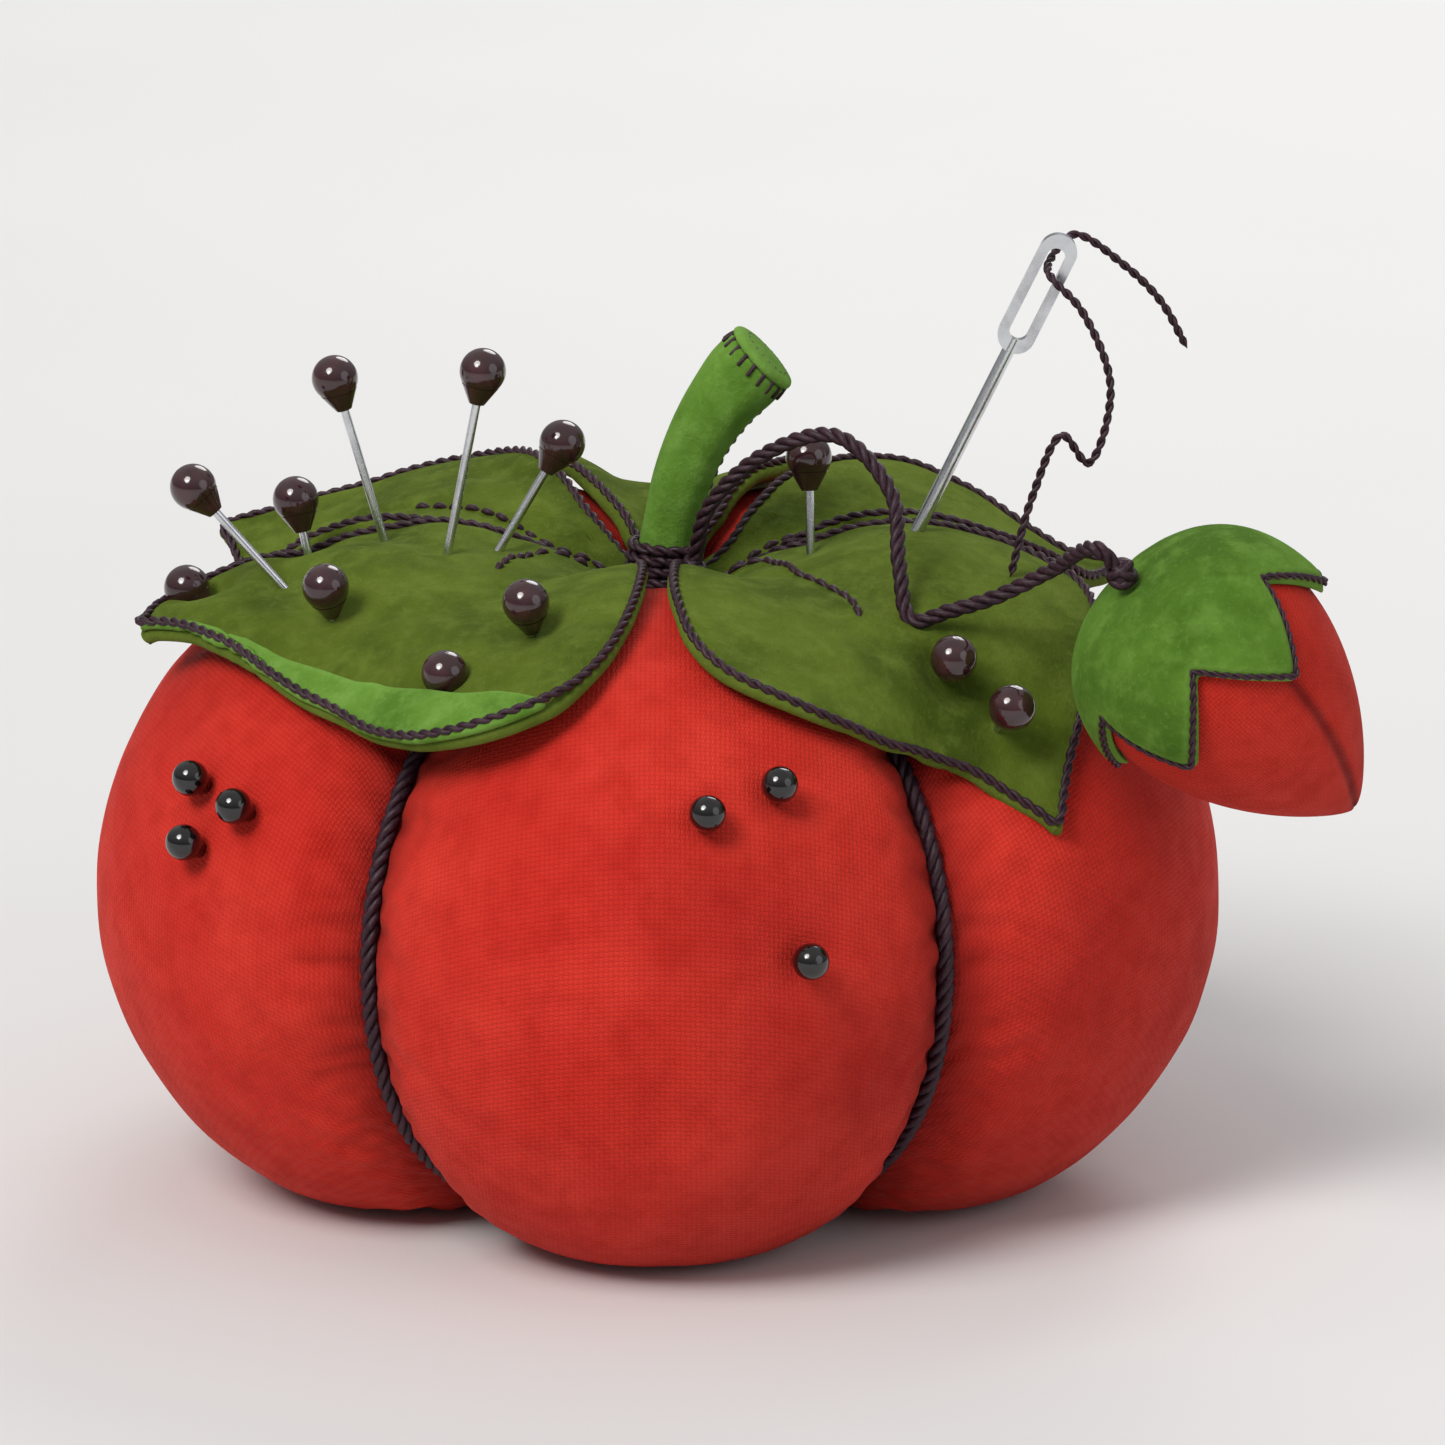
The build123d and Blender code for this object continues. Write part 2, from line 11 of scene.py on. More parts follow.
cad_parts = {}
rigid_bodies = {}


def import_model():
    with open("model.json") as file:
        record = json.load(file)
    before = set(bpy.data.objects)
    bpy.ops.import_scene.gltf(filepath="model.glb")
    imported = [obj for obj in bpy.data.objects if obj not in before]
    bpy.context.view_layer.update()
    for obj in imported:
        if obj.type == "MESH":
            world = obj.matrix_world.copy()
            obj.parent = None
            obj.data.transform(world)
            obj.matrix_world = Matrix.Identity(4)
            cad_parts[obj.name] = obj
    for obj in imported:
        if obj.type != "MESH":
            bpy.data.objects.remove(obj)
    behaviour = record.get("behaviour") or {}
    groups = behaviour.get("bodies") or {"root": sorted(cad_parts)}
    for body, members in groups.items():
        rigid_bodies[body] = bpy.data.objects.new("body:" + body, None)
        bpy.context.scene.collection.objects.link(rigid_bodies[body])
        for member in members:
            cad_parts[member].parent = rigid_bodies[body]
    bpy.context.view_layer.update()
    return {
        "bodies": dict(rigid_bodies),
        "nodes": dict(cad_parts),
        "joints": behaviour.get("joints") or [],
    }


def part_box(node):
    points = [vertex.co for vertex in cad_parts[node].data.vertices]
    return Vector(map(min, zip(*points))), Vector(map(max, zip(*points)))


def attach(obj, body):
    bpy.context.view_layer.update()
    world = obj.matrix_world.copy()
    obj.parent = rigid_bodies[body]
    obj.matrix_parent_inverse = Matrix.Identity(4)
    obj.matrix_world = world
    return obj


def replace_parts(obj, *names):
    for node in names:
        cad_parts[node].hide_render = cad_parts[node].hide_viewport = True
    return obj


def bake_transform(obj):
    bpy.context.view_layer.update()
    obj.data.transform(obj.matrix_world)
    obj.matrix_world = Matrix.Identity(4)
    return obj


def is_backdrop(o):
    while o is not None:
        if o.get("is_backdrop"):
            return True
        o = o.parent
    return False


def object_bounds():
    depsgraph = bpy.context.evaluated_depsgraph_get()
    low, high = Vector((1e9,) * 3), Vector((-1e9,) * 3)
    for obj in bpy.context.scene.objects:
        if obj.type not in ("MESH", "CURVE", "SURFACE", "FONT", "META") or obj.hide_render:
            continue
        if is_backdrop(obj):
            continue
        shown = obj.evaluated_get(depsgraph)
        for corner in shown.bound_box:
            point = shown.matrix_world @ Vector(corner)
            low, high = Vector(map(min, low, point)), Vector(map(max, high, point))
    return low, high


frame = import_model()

scene = bpy.context.scene
MM = 0.001
TURN = 2 * math.pi
JOINTS = {j["name"]: j for j in frame["joints"]}

# ---- sizes, from the frame
front_low, front_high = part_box("gore_front")
LOBES = 5
PITCH = TURN / LOBES
REACH = -front_low.y / MM
RING = 17.0
RADIUS = REACH - RING
HALF_HEIGHT = 22.5
MIDDLE_Z = front_high.z / MM - HALF_HEIGHT
LOBE_BEARINGS = [-math.pi / 2 + PITCH * n for n in range(LOBES)]


def unit(v):
    """A direction, or an array of them, at unit length."""
    v = np.asarray(v, float)
    return v / np.maximum(np.linalg.norm(v, axis=-1, keepdims=True), 1e-12)


# ---- mesh helpers, all in millimetres
def make_object(name, verts, faces, smooth=True):
    mesh = bpy.data.meshes.new(name)
    mesh.from_pydata((np.asarray(verts, float) * MM).tolist(), [], faces)
    mesh.update()
    if smooth:
        mesh.shade_smooth()
    obj = bpy.data.objects.new(name, mesh)
    scene.collection.objects.link(obj)
    return obj


def add_float(obj, name, values):
    attribute = obj.data.attributes.new(name, "FLOAT", "POINT")
    attribute.data.foreach_set("value", np.asarray(values, np.float32))


def add_uv(obj, uv_of_vert):
    """Gives every corner the UV of its vertex, in millimetres."""
    layer = obj.data.uv_layers.new(name="cloth")
    index = np.zeros(len(obj.data.loops), np.int32)
    obj.data.loops.foreach_get("vertex_index", index)
    layer.data.foreach_set("uv", np.asarray(uv_of_vert, np.float32)[index].ravel())


def quads(rows, columns, first=0, flip=False):
    """Faces of a grid of points numbered row by row."""
    corners = [(a, a + columns, a + columns + 1, a + 1) for i in range(rows - 1)
               for a in range(first + i * columns, first + i * columns + columns - 1)]
    return [face[::-1] for face in corners] if flip else corners


def merge(parts):
    """Joins (verts, faces) lists into one."""
    verts, faces, base = [], [], 0
    for v, f in parts:
        verts.append(np.asarray(v, float))
        faces += [tuple(i + base for i in face) for face in f]
        base += len(v)
    return np.concatenate(verts), faces


def smooth_path(points, step=0.25, ends=None):
    """A smooth curve through points, resampled at even steps; ends gives its first and last directions."""
    p = [np.asarray(q, float) for q in points]
    first, last = p[1] - p[0], p[-1] - p[-2]
    if ends:
        first, last = (unit(way) * np.linalg.norm(chord) for way, chord in zip(ends, (first, last)))
    p = [p[0] - first, *p, p[-1] + last]
    out = []
    for a, b, c, d in zip(p, p[1:], p[2:], p[3:]):
        t0, t1 = 0.0, max(np.linalg.norm(b - a), 1e-6) ** 0.5
        t2 = t1 + max(np.linalg.norm(c - b), 1e-6) ** 0.5
        t3 = t2 + max(np.linalg.norm(d - c), 1e-6) ** 0.5
        for t in np.linspace(t1, t2, 24, endpoint=False):
            def between(low, high, p0, p1):
                return (high - t) / (high - low) * p0 + (t - low) / (high - low) * p1

            b2 = between(t1, t2, b, c)
            b1 = between(t0, t2, between(t0, t1, a, b), b2)
            out.append(between(t1, t2, b1, between(t1, t3, b2, between(t2, t3, c, d))))
    out.append(p[-2])
    return even_path(np.array(out), step)


def even_path(path, step):
    path = np.asarray(path, float)
    lengths = np.concatenate([[0], np.cumsum(np.linalg.norm(np.diff(path, axis=0), axis=1))])
    count = max(3, int(round(lengths[-1] / step)) + 1)
    at = np.linspace(0, lengths[-1], count)
    return np.stack([np.interp(at, lengths, path[:, k]) for k in range(3)], axis=1)


def path_frames(path):
    """Tangent, and two directions across it that don't twist along the path."""
    tangent = unit(np.gradient(path, axis=0))
    side = np.zeros_like(path)
    start = np.cross(tangent[0], [0.13, 0.27, 0.95])
    if np.linalg.norm(start) < 1e-3:
        start = np.cross(tangent[0], [1, 0, 0])
    side[0] = unit(start)
    for n in range(1, len(path)):
        side[n] = unit(side[n - 1] - tangent[n] * np.dot(side[n - 1], tangent[n]))
    return tangent, side, np.cross(tangent, side)


def ring_row(centre, radius, x_dir, y_dir, angles):
    """Points at a radius round a centre."""
    return centre + radius * (np.cos(angles)[:, None] * x_dir + np.sin(angles)[:, None] * y_dir)


def polar(r, angle, z):
    return np.array([r * math.cos(angle), r * math.sin(angle), z])


def tube(path, radius, sides=12):
    """A closed tube with rounded ends round a path; radius is one number or one for each point."""
    path = np.asarray(path, float)
    radius = np.broadcast_to(np.asarray(radius, float), (len(path),)).copy()
    tangent, a, b = path_frames(path)
    angles = np.linspace(0, TURN, sides, endpoint=False)
    rings = [(0, -h) for h in (0.96, 0.78, 0.45)] + [(k, 0) for k in range(len(path))]
    rings += [(len(path) - 1, h) for h in (0.45, 0.78, 0.96)]
    return close_rows([ring_row(path[k] + tangent[k] * radius[k] * h, radius[k] * math.sqrt(1 - h * h),
                                a[k], b[k], angles) for k, h in rings])


def closed(grid):
    """Columns of points that stand in a ring, joined into a skin with a fan over each end."""
    columns, rows = grid.shape[:2]
    ring = [(c * rows, (c + 1) % columns * rows) for c in range(columns)]
    faces = [(c + r, c + r + 1, d + r + 1, d + r) for c, d in ring for r in range(rows - 1)]
    for c, d in ring:
        faces += [(columns * rows, c, d), (columns * rows + 1, d + rows - 1, c + rows - 1)]
    return np.concatenate([grid.reshape(-1, 3), grid[:, 0].mean(0)[None], grid[:, -1].mean(0)[None]]), faces


def close_rows(rows):
    """Rings of equal count, from the foot up, joined into a closed skin."""
    return closed(np.stack(rows[::-1], axis=1))


def twisted(path, radius, plies=3, turn_length=None, sides=8, step=0.22, ends=0.0):
    """Plies wound round a path, so that together they fill a cord of the given radius."""
    path = even_path(path, step)
    _, a, b = path_frames(path)
    ply = radius * (0.5 if plies == 2 else 0.464) * 1.06
    offset = radius - ply
    turn_length = turn_length or radius * 5.2
    length = step * np.arange(len(path))
    taper = np.ones(len(path))
    if ends > 0:
        taper = np.minimum(1, 0.25 + np.minimum(length, length[-1] - length) / ends)
    parts = []
    for n in range(plies):
        angle = TURN * (length / turn_length + n / plies)
        centre = path + offset * taper[:, None] * (np.cos(angle)[:, None] * a + np.sin(angle)[:, None] * b)
        parts.append(tube(centre, ply * taper, sides))
    return merge(parts)


def knot_ball(centre, radius, turns=5):
    """A small ball wound from one strand."""
    t = np.linspace(0, 1, 240)
    tilt = math.pi * (0.5 + 0.42 * np.sin(TURN * 2 * t + 0.4))
    around = TURN * turns * t
    path = radius * 0.72 * np.array([np.sin(tilt) * np.cos(around), np.sin(tilt) * np.sin(around),
                                     np.cos(tilt)]).T
    core = tube(np.array([[0, 0, -0.2], [0, 0, 0], [0, 0, 0.2]]) * radius, radius * 0.7, 16)
    verts, faces = merge([tube(even_path(path, 0.12), radius * 0.3, 8), core])
    return verts + np.asarray(centre, float), faces


def stitch(a, b, lift, normal, radius=0.24):
    """One thread stitch from a to b, bowed off the cloth along normal."""
    a, b, normal = np.asarray(a, float), np.asarray(b, float), unit(normal)
    t = np.linspace(0, 1, 9)[:, None]
    path = a * (1 - t) + b * t + normal * (lift * np.sin(math.pi * t) - 0.12)
    return tube(path, radius * (0.75 + 0.25 * np.sin(math.pi * t[:, 0])), 8)


def apply_modifiers(obj):
    scene.view_layers[0].update()
    evaluated = obj.evaluated_get(bpy.context.evaluated_depsgraph_get())
    mesh = bpy.data.meshes.new_from_object(evaluated)
    old = obj.data
    obj.modifiers.clear()
    obj.data = mesh
    bpy.data.meshes.remove(old)
    return obj


def subdivide(obj, levels=1):
    modifier = obj.modifiers.new("round", "SUBSURF")
    modifier.levels = modifier.render_levels = levels
    modifier.boundary_smooth = "PRESERVE_CORNERS"
    return apply_modifiers(obj)


def value_noise(points, scale, seed):
    """Smooth noise of about -1 to 1 at points, made from a few fixed waves."""
    waves = np.random.default_rng(seed)
    total = np.zeros(len(points))
    for n in range(7):
        direction = unit(waves.normal(size=3)) * (0.6 + 0.9 * waves.random()) * TURN / scale
        total += np.sin(np.asarray(points) @ direction + waves.random() * 6.28)
    return total / 3.2


# ---- materials
class Nodes:
    """A short way to write a material's node tree."""

    def __init__(self, name):
        self.material = bpy.data.materials.new(name)
        self.material.use_nodes = True
        self.tree = self.material.node_tree
        self.bsdf = self.tree.nodes["Principled BSDF"]

    def feed(self, socket, value):
        """Links another node's output to a socket, or sets its value; a colour gets its alpha."""
        if isinstance(value, bpy.types.NodeSocket):
            self.tree.links.new(value, socket)
        else:
            socket.default_value = (*value, 1) if socket.type == "RGBA" else value

    def add(self, kind, *numbered, **named):
        node = self.tree.nodes.new(kind)
        for key, value in [*enumerate(numbered), *named.items()]:
            if value is not None:
                self.feed(node.inputs[key.replace("_", " ") if isinstance(key, str) else key], value)
        return node

    def math(self, operation, *values):
        node = self.add("ShaderNodeMath", *values)
        node.operation = operation
        return node.outputs[0]

    def ramp(self, value, low, high, a=0.0, b=1.0):
        node = self.add("ShaderNodeMapRange", value, low, high, a, b)
        node.interpolation_type = "SMOOTHSTEP"
        return node.outputs[0]

    def mix(self, factor, a, b):
        node = self.tree.nodes.new("ShaderNodeMix")
        node.data_type = "RGBA"
        for n, value in ((0, factor), (6, a), (7, b)):
            self.feed(node.inputs[n], value)
        return node.outputs[2]

    def noise(self, scale, detail=4.0, rough=0.55, vector=None):
        node = self.add("ShaderNodeTexNoise", Scale=scale, Detail=detail, Roughness=rough,
                        Vector=vector or self.position())
        return node.outputs[0]

    def position(self):
        if not hasattr(self, "_position"):
            self._position = self.tree.nodes.new("ShaderNodeTexCoord").outputs["Object"]
        return self._position

    def attribute(self, name):
        node = self.tree.nodes.new("ShaderNodeAttribute")
        node.attribute_name = name
        return node.outputs["Fac"]

    def bump(self, height, distance, strength=1.0, normal=None):
        return self.add("ShaderNodeBump", Strength=strength, Distance=distance, Height=height,
                        Normal=normal).outputs[0]

    def finish(self, color, roughness, normal=None, sheen=0.0, sheen_tint=(1, 1, 1), **extra):
        values = {"Base_Color": color, "Roughness": roughness, "Normal": normal, "Sheen_Weight": sheen,
                  "Sheen_Roughness": 0.45, "Sheen_Tint": sheen_tint, **extra}
        for key, value in values.items():
            if value is not None:
                self.feed(self.bsdf.inputs[key.replace("_", " ")], value)
        return self.material


def srgb(r, g, b):
    """Linear colour from 0-255 screen colour."""
    out = []
    for c in (r, g, b):
        c /= 255
        out.append(c / 12.92 if c <= 0.04045 else ((c + 0.055) / 1.055) ** 2.4)
    return tuple(out)


def cotton(name, base, light, dark, thread=0.34):
    """Plain-weave cotton: over-and-under threads from the cloth UVs, slubs, painted-looking mottling and
    painted shade in grooves, seams and thread gaps.
    """
    m = Nodes(name)
    uv = m.tree.nodes.new("ShaderNodeUVMap")
    uv.uv_map = "cloth"
    split = m.add("ShaderNodeSeparateXYZ", Vector=uv.outputs[0])
    wobble = m.noise(900, 2)
    u = m.math("MULTIPLY_ADD", wobble, 0.10, split.outputs[0])
    v = m.math("MULTIPLY_ADD", wobble, 0.10, split.outputs[1])
    su = m.math("SINE", m.math("MULTIPLY", u, math.pi / thread))
    sv = m.math("SINE", m.math("MULTIPLY", v, math.pi / thread))
    ridge_u, ridge_v = m.math("ABSOLUTE", su), m.math("ABSOLUTE", sv)
    over = m.ramp(m.math("MULTIPLY", su, sv), -0.25, 0.25)
    threads = m.math("MULTIPLY_ADD", over, m.math("SUBTRACT", ridge_u, ridge_v), ridge_v)
    slub = m.noise(2200, 3, 0.6)
    height = m.math("MULTIPLY_ADD", slub, 0.6, threads)
    painted_shade = m.attribute("painted_shade")
    blotch = m.noise(75, 5, 0.6)
    fine = m.noise(420, 4, 0.65)
    tone = m.mix(m.ramp(blotch, 0.36, 0.68), base, light)
    wash = m.noise(28, 3, 0.5)
    # Painted shade: darker along the marked grooves and seams, and in the low gaps between the woven threads;
    # the wash and fine noise give random mottling.
    for ramp in ((wash, 0.48, 0.66, 0.0, 0.35), (painted_shade, 0.1, 1.0, 0.0, 0.85), (fine, 0.40, 0.72, 0.0, 0.22),
                 (threads, 0.0, 0.55, 0.42, 0.0)):
        tone = m.mix(m.ramp(*ramp), tone, dark)
    normal = m.bump(height, 0.00007, 0.75)
    normal = m.bump(blotch, 0.0006, 0.25, normal)
    return m.finish(tone, m.ramp(fine, 0.3, 0.7, 0.72, 0.88), normal, sheen=0.07, sheen_tint=(1.0, 0.35, 0.25),
                    Specular_IOR_Level=0.2)


def felt(name, base, light, dark):
    """Pressed wool felt: matted fibres, soft blotches, a lighter colour along marked edges and a fuzzy sheen.
    """
    m = Nodes(name)
    stretch = m.add("ShaderNodeMapping", Vector=m.position(), Scale=(1.0, 3.2, 1.6), Rotation=(0.3, 0.5, 0.8))
    cross = m.add("ShaderNodeMapping", Vector=m.position(), Scale=(3.0, 1.0, 2.0), Rotation=(1.1, 0.2, 2.1))
    fibre_a = m.noise(1500, 5, 0.7, stretch.outputs[0])
    fibre_b = m.noise(1350, 5, 0.7, cross.outputs[0])
    fibres = m.math("MAXIMUM", fibre_a, fibre_b)
    blotch = m.noise(110, 4, 0.6)
    mats = m.noise(480, 4, 0.65)
    edge = m.attribute("edge")
    tone = m.mix(m.ramp(blotch, 0.36, 0.66), base, dark)
    tone = m.mix(m.ramp(mats, 0.42, 0.72, 0.0, 0.45), tone, light)
    tone = m.mix(m.ramp(fibres, 0.56, 0.74, 0.0, 0.5), tone, light)
    tone = m.mix(m.ramp(fibres, 0.30, 0.48, 0.45, 0.0), tone, dark)
    tone = m.mix(m.ramp(edge, 0.55, 1.0, 0.0, 0.35), tone, light)
    normal = m.bump(fibres, 0.00016, 0.8)
    normal = m.bump(mats, 0.00035, 0.5, normal)
    return m.finish(tone, 0.95, normal, sheen=0.35, sheen_tint=light, Specular_IOR_Level=0.12)


def thread_material(name, base, light):
    """Mercerised thread: fine fibres along the ply and a soft shine."""
    m = Nodes(name)
    fibre = m.noise(3200, 4, 0.65)
    patch = m.noise(300, 3)
    tone = m.mix(m.ramp(fibre, 0.4, 0.7, 0.0, 0.6), base, light)
    tone = m.mix(m.ramp(patch, 0.45, 0.7, 0.0, 0.25), tone, light)
    normal = m.bump(fibre, 0.00006, 0.7)
    return m.finish(tone, m.ramp(fibre, 0.3, 0.7, 0.42, 0.6), normal, sheen=0.12, sheen_tint=light,
                    Specular_IOR_Level=0.35)


def steel(name):
    """Drawn steel wire: bright, with faint lengthwise marks and dulled patches."""
    m = Nodes(name)
    marks = m.noise(2600, 3, 0.7)
    dull = m.noise(260, 4, 0.6)
    tone = m.mix(m.ramp(dull, 0.4, 0.75), (0.72, 0.73, 0.76), (0.50, 0.50, 0.53))
    rough = m.math("MULTIPLY_ADD", marks, 0.14, m.ramp(dull, 0.35, 0.75, 0.14, 0.26))
    return m.finish(tone, rough, m.bump(marks, 0.00002, 0.4), Metallic=1.0)


def bead(name, base, light):
    """Moulded glossy bead with a faint swirl and tiny handling marks."""
    m = Nodes(name)
    swirl = m.noise(700, 3, 0.5)
    marks = m.noise(5200, 3, 0.7)
    tone = m.mix(m.ramp(swirl, 0.42, 0.7, 0.0, 0.6), base, light)
    rough = m.ramp(marks, 0.45, 0.75, 0.10, 0.24)
    return m.finish(tone, rough, m.bump(marks, 0.00001, 0.3), Coat_Weight=0.6, Coat_Roughness=0.06)


RED = cotton("red_cotton", srgb(196, 37, 25), srgb(212, 52, 38), srgb(128, 14, 8))
EMERY_RED = cotton("emery_cotton", srgb(184, 34, 20), srgb(200, 45, 30), srgb(116, 12, 7), thread=0.26)
OLIVE = felt("olive_felt", srgb(86, 103, 30), srgb(108, 126, 50), srgb(62, 78, 17))
LIME = felt("lime_felt", srgb(100, 142, 52), srgb(126, 166, 80), srgb(76, 114, 34))
CAP_GREEN = felt("cap_felt", srgb(86, 124, 40), srgb(112, 150, 64), srgb(64, 98, 26))
PLUM = thread_material("plum_thread", srgb(36, 16, 26), srgb(72, 42, 56))
STEEL = steel("pin_steel")
PLUM_BEAD = bead("plum_bead", srgb(50, 24, 28), srgb(74, 38, 44))
BLACK_BEAD = bead("black_bead", srgb(9, 6, 8), srgb(22, 17, 20))


def paint(obj, material):
    obj.data.materials.clear()
    obj.data.materials.append(material)
    return obj


def place(obj, material, slot_name, body, *nodes):
    """Gives a piece its material, rides it on a body and lets it stand for CAD nodes."""
    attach(paint(obj, material), body)
    if nodes:
        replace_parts(obj, *nodes)


def thread_piece(name, solid, body, *nodes):
    """A piece of plum thread."""
    place(make_object(name, *solid), PLUM, "plum_thread", body, *nodes)


# ---- pins, needle and emery, read from the frame
SEAT_GAP = 0.3
PINS = []
for joint in frame["joints"]:
    if joint["name"].startswith("pin_"):
        pin = joint["child"][len("pin_"):]
        axis = unit(joint["axis"])
        co = np.array([v.co for v in frame["nodes"]["pin_head_" + pin].data.vertices]) / MM
        along = co @ axis
        spread = co - np.outer(along, axis)
        foot = 0.5 * (spread.max(0) + spread.min(0))
        stands = -joint["range_m"][0] / MM
        PINS.append({"name": pin, "seat": foot + axis * (along.min() - stands - SEAT_GAP),
                     "on_leaf": not pin.startswith(("cheek", "front"))})
needle_axis = unit(JOINTS["needle_slide"]["axis"])
emery_axis = unit(JOINTS["emery_spin"]["axis"])
emery_knot = np.array(JOINTS["emery_spin"]["pos_m"]) / MM


# ---- cushion body: one sewn skin, puffed by cloth simulation
COLUMNS = 60
ROWS = 150
HOLE = 1.3
GROOVE_SINK = 0.95
SIM_SCALE = 8.0
PUFF_LIMIT = 1.3


def lobe_section(offset):
    """The lobe's outline in the upright plane at an angle from its own middle: centre, reach, rise."""
    across = RING * np.sin(offset)
    return (RING * np.cos(offset), np.sqrt(RADIUS ** 2 - across ** 2),
            HALF_HEIGHT * np.sqrt(1 - (across / RADIUS) ** 2))


def body_grid():
    """Rows of points from the crown dimple down to the underside, one column for each bearing."""
    s = np.arange(COLUMNS) * 2 / COLUMNS - 1
    offsets = np.tile(PITCH / 2 * np.sin(s * math.pi / 2 * 0.88) / math.sin(math.pi / 2 * 0.88), LOBES)
    centre, reach, rise = (value[:, None] for value in lobe_section(offsets))
    sink = GROOVE_SINK * np.exp(-((PITCH / 2 - np.abs(offsets[:, None])) / math.radians(3.2)) ** 2)
    t = np.arccos((HOLE - centre) / reach) * np.linspace(1, -1, ROWS)
    rho = centre + (reach - sink) * np.cos(t)
    z = np.maximum(MIDDLE_Z + (rise - sink) * np.sin(t), 0.05)
    bearing = (np.repeat(LOBE_BEARINGS, COLUMNS) + offsets)[:, None]
    return np.stack([rho * np.cos(bearing), rho * np.sin(bearing), z], axis=2), offsets


def vertex_normals(grid):
    """Outward normals of the ring-shaped grid."""
    along = np.gradient(grid, axis=1)
    around = np.roll(grid, -1, axis=0) - np.roll(grid, 1, axis=0)
    normal = unit(np.cross(around, along))
    return normal if np.sum(normal[:, ROWS // 2] * grid[:, ROWS // 2]) > 0 else -normal


def puff(grid, offsets):
    """Runs the cloth simulation on the skin, held along the grooves, crown and resting patch."""
    columns, rows = grid.shape[:2]
    obj = make_object("sim_skin", *closed(grid * SIM_SCALE))
    at_groove = np.abs(np.abs(offsets) - PITCH / 2) < math.radians(0.3)
    at_crown = np.linalg.norm(grid[:, :, :2], axis=2) < 4.5
    held = np.flatnonzero(at_groove[:, None] | at_crown | (grid[:, :, 2] < 0.4)).tolist()
    group = obj.vertex_groups.new(name="held")
    group.add(held + [columns * rows, columns * rows + 1], 1.0, "REPLACE")
    cloth = obj.modifiers.new("cloth", "CLOTH")
    settings = cloth.settings
    for key, value in (
            ("quality", 6), ("mass", 0.25), ("tension_stiffness", 22), ("compression_stiffness", 22),
            ("shear_stiffness", 8), ("bending_stiffness", 0.35), ("tension_damping", 8),
            ("compression_damping", 8), ("air_damping", 2.5), ("use_pressure", True),
            ("uniform_pressure_force", 4.0), ("shrink_min", -0.045), ("vertex_group_mass", "held"),
            ("pin_stiffness", 1.0)):
        setattr(settings, key, value)
    settings.effector_weights.gravity = 0
    cloth.collision_settings.use_collision = False
    cloth.point_cache.frame_start = 1
    cloth.point_cache.frame_end = 24
    for step in range(1, 21):
        scene.frame_set(step)
    apply_modifiers(obj)
    out = np.zeros(len(obj.data.vertices) * 3)
    obj.data.vertices.foreach_get("co", out)
    moved = (out.reshape(-1, 3) / MM / SIM_SCALE)[:columns * rows].reshape(columns, rows, 3)
    scene.frame_set(1)
    bpy.data.objects.remove(obj)
    return moved


def cap_move(start, moved, limit):
    """Lets a point move freely when the move is small and never further than limit."""
    shift = moved - start
    size = np.linalg.norm(shift, axis=-1, keepdims=True) + 1e-9
    return start + shift / size * limit * np.tanh(size / limit)


skin, offsets = body_grid()
skin = cap_move(skin, puff(skin, offsets), PUFF_LIMIT)
normals = vertex_normals(skin)
to_groove = (PITCH / 2 - np.abs(offsets))[:, None] * np.linalg.norm(skin[:, :, :2], axis=2)
meridian = np.concatenate([np.zeros((len(skin), 1)), np.cumsum(
    np.linalg.norm(np.diff(skin, axis=1), axis=2), axis=1)], axis=1)
flat_points = skin.reshape(-1, 3)
slow = value_noise(flat_points, 26.0, 5).reshape(to_groove.shape)
fine_noise = value_noise(flat_points, 7.0, 6).reshape(to_groove.shape)

# Puckers where the floss draws the cloth in: short ridges at right angles to each groove.
side = np.sign(offsets)[:, None]
phase = TURN * meridian / 3.1 + 1.7 * slow + side * 1.1
pucker = (0.55 + 0.45 * fine_noise) * np.sin(phase) * np.exp(-to_groove / 3.4) * np.minimum(1, to_groove / 1.2)
radial = np.linalg.norm(skin[:, :, :2], axis=2)
bearing_grid = np.arctan2(skin[:, :, 1], skin[:, :, 0])
gather = np.sin(bearing_grid * 45 + 1.5 * slow) * np.exp(-np.maximum(radial - 3, 0) / 5.0)
rise = 0.34 * pucker + 0.22 * gather * np.minimum(1, to_groove / 1.0) + 0.16 * slow + 0.05 * fine_noise
rise *= np.clip((skin[:, :, 2] - 0.3) / 1.2, 0, 1)
skin = skin + normals * rise[:, :, None]

# Dimples where pins go in.
for pin in PINS:
    gap = np.linalg.norm(skin - pin["seat"], axis=2)
    depth, spread = (1.5, 2.6) if pin["on_leaf"] else (0.75, 1.25)
    skin -= normals * (depth * np.exp(-(gap / spread) ** 2))[:, :, None]
skin[:, :, 2] = np.where(skin[:, :, 2] < 0.5, 0.04 + 0.92 * np.maximum(skin[:, :, 2], 0), skin[:, :, 2])

solid = closed(skin)
body = make_object("cushion_body", *solid)
# Painted shade for the cloth: darker along the grooves and round the crown dimple, where shade falls.
shade = np.exp(-np.maximum(to_groove - 0.4, 0) / 2.6)
shade = np.maximum(shade, 0.7 * np.exp(-np.maximum(radial - 6, 0) / 5.0))
add_float(body, "painted_shade", np.concatenate([shade.ravel(), [1, 1]]))
around = np.zeros_like(to_groove)
for lobe in range(LOBES):
    rows_of = slice(lobe * COLUMNS, (lobe + 1) * COLUMNS)
    steps = np.linalg.norm(np.diff(skin[rows_of], axis=0), axis=2)
    run = np.concatenate([np.zeros((1, ROWS)), np.cumsum(steps, axis=0)])
    around[rows_of] = run - run[COLUMNS // 2]
uv = np.stack([around.ravel(), meridian.ravel()], axis=1)
add_uv(body, np.concatenate([uv, [[0, 0], [0, 0]]]))
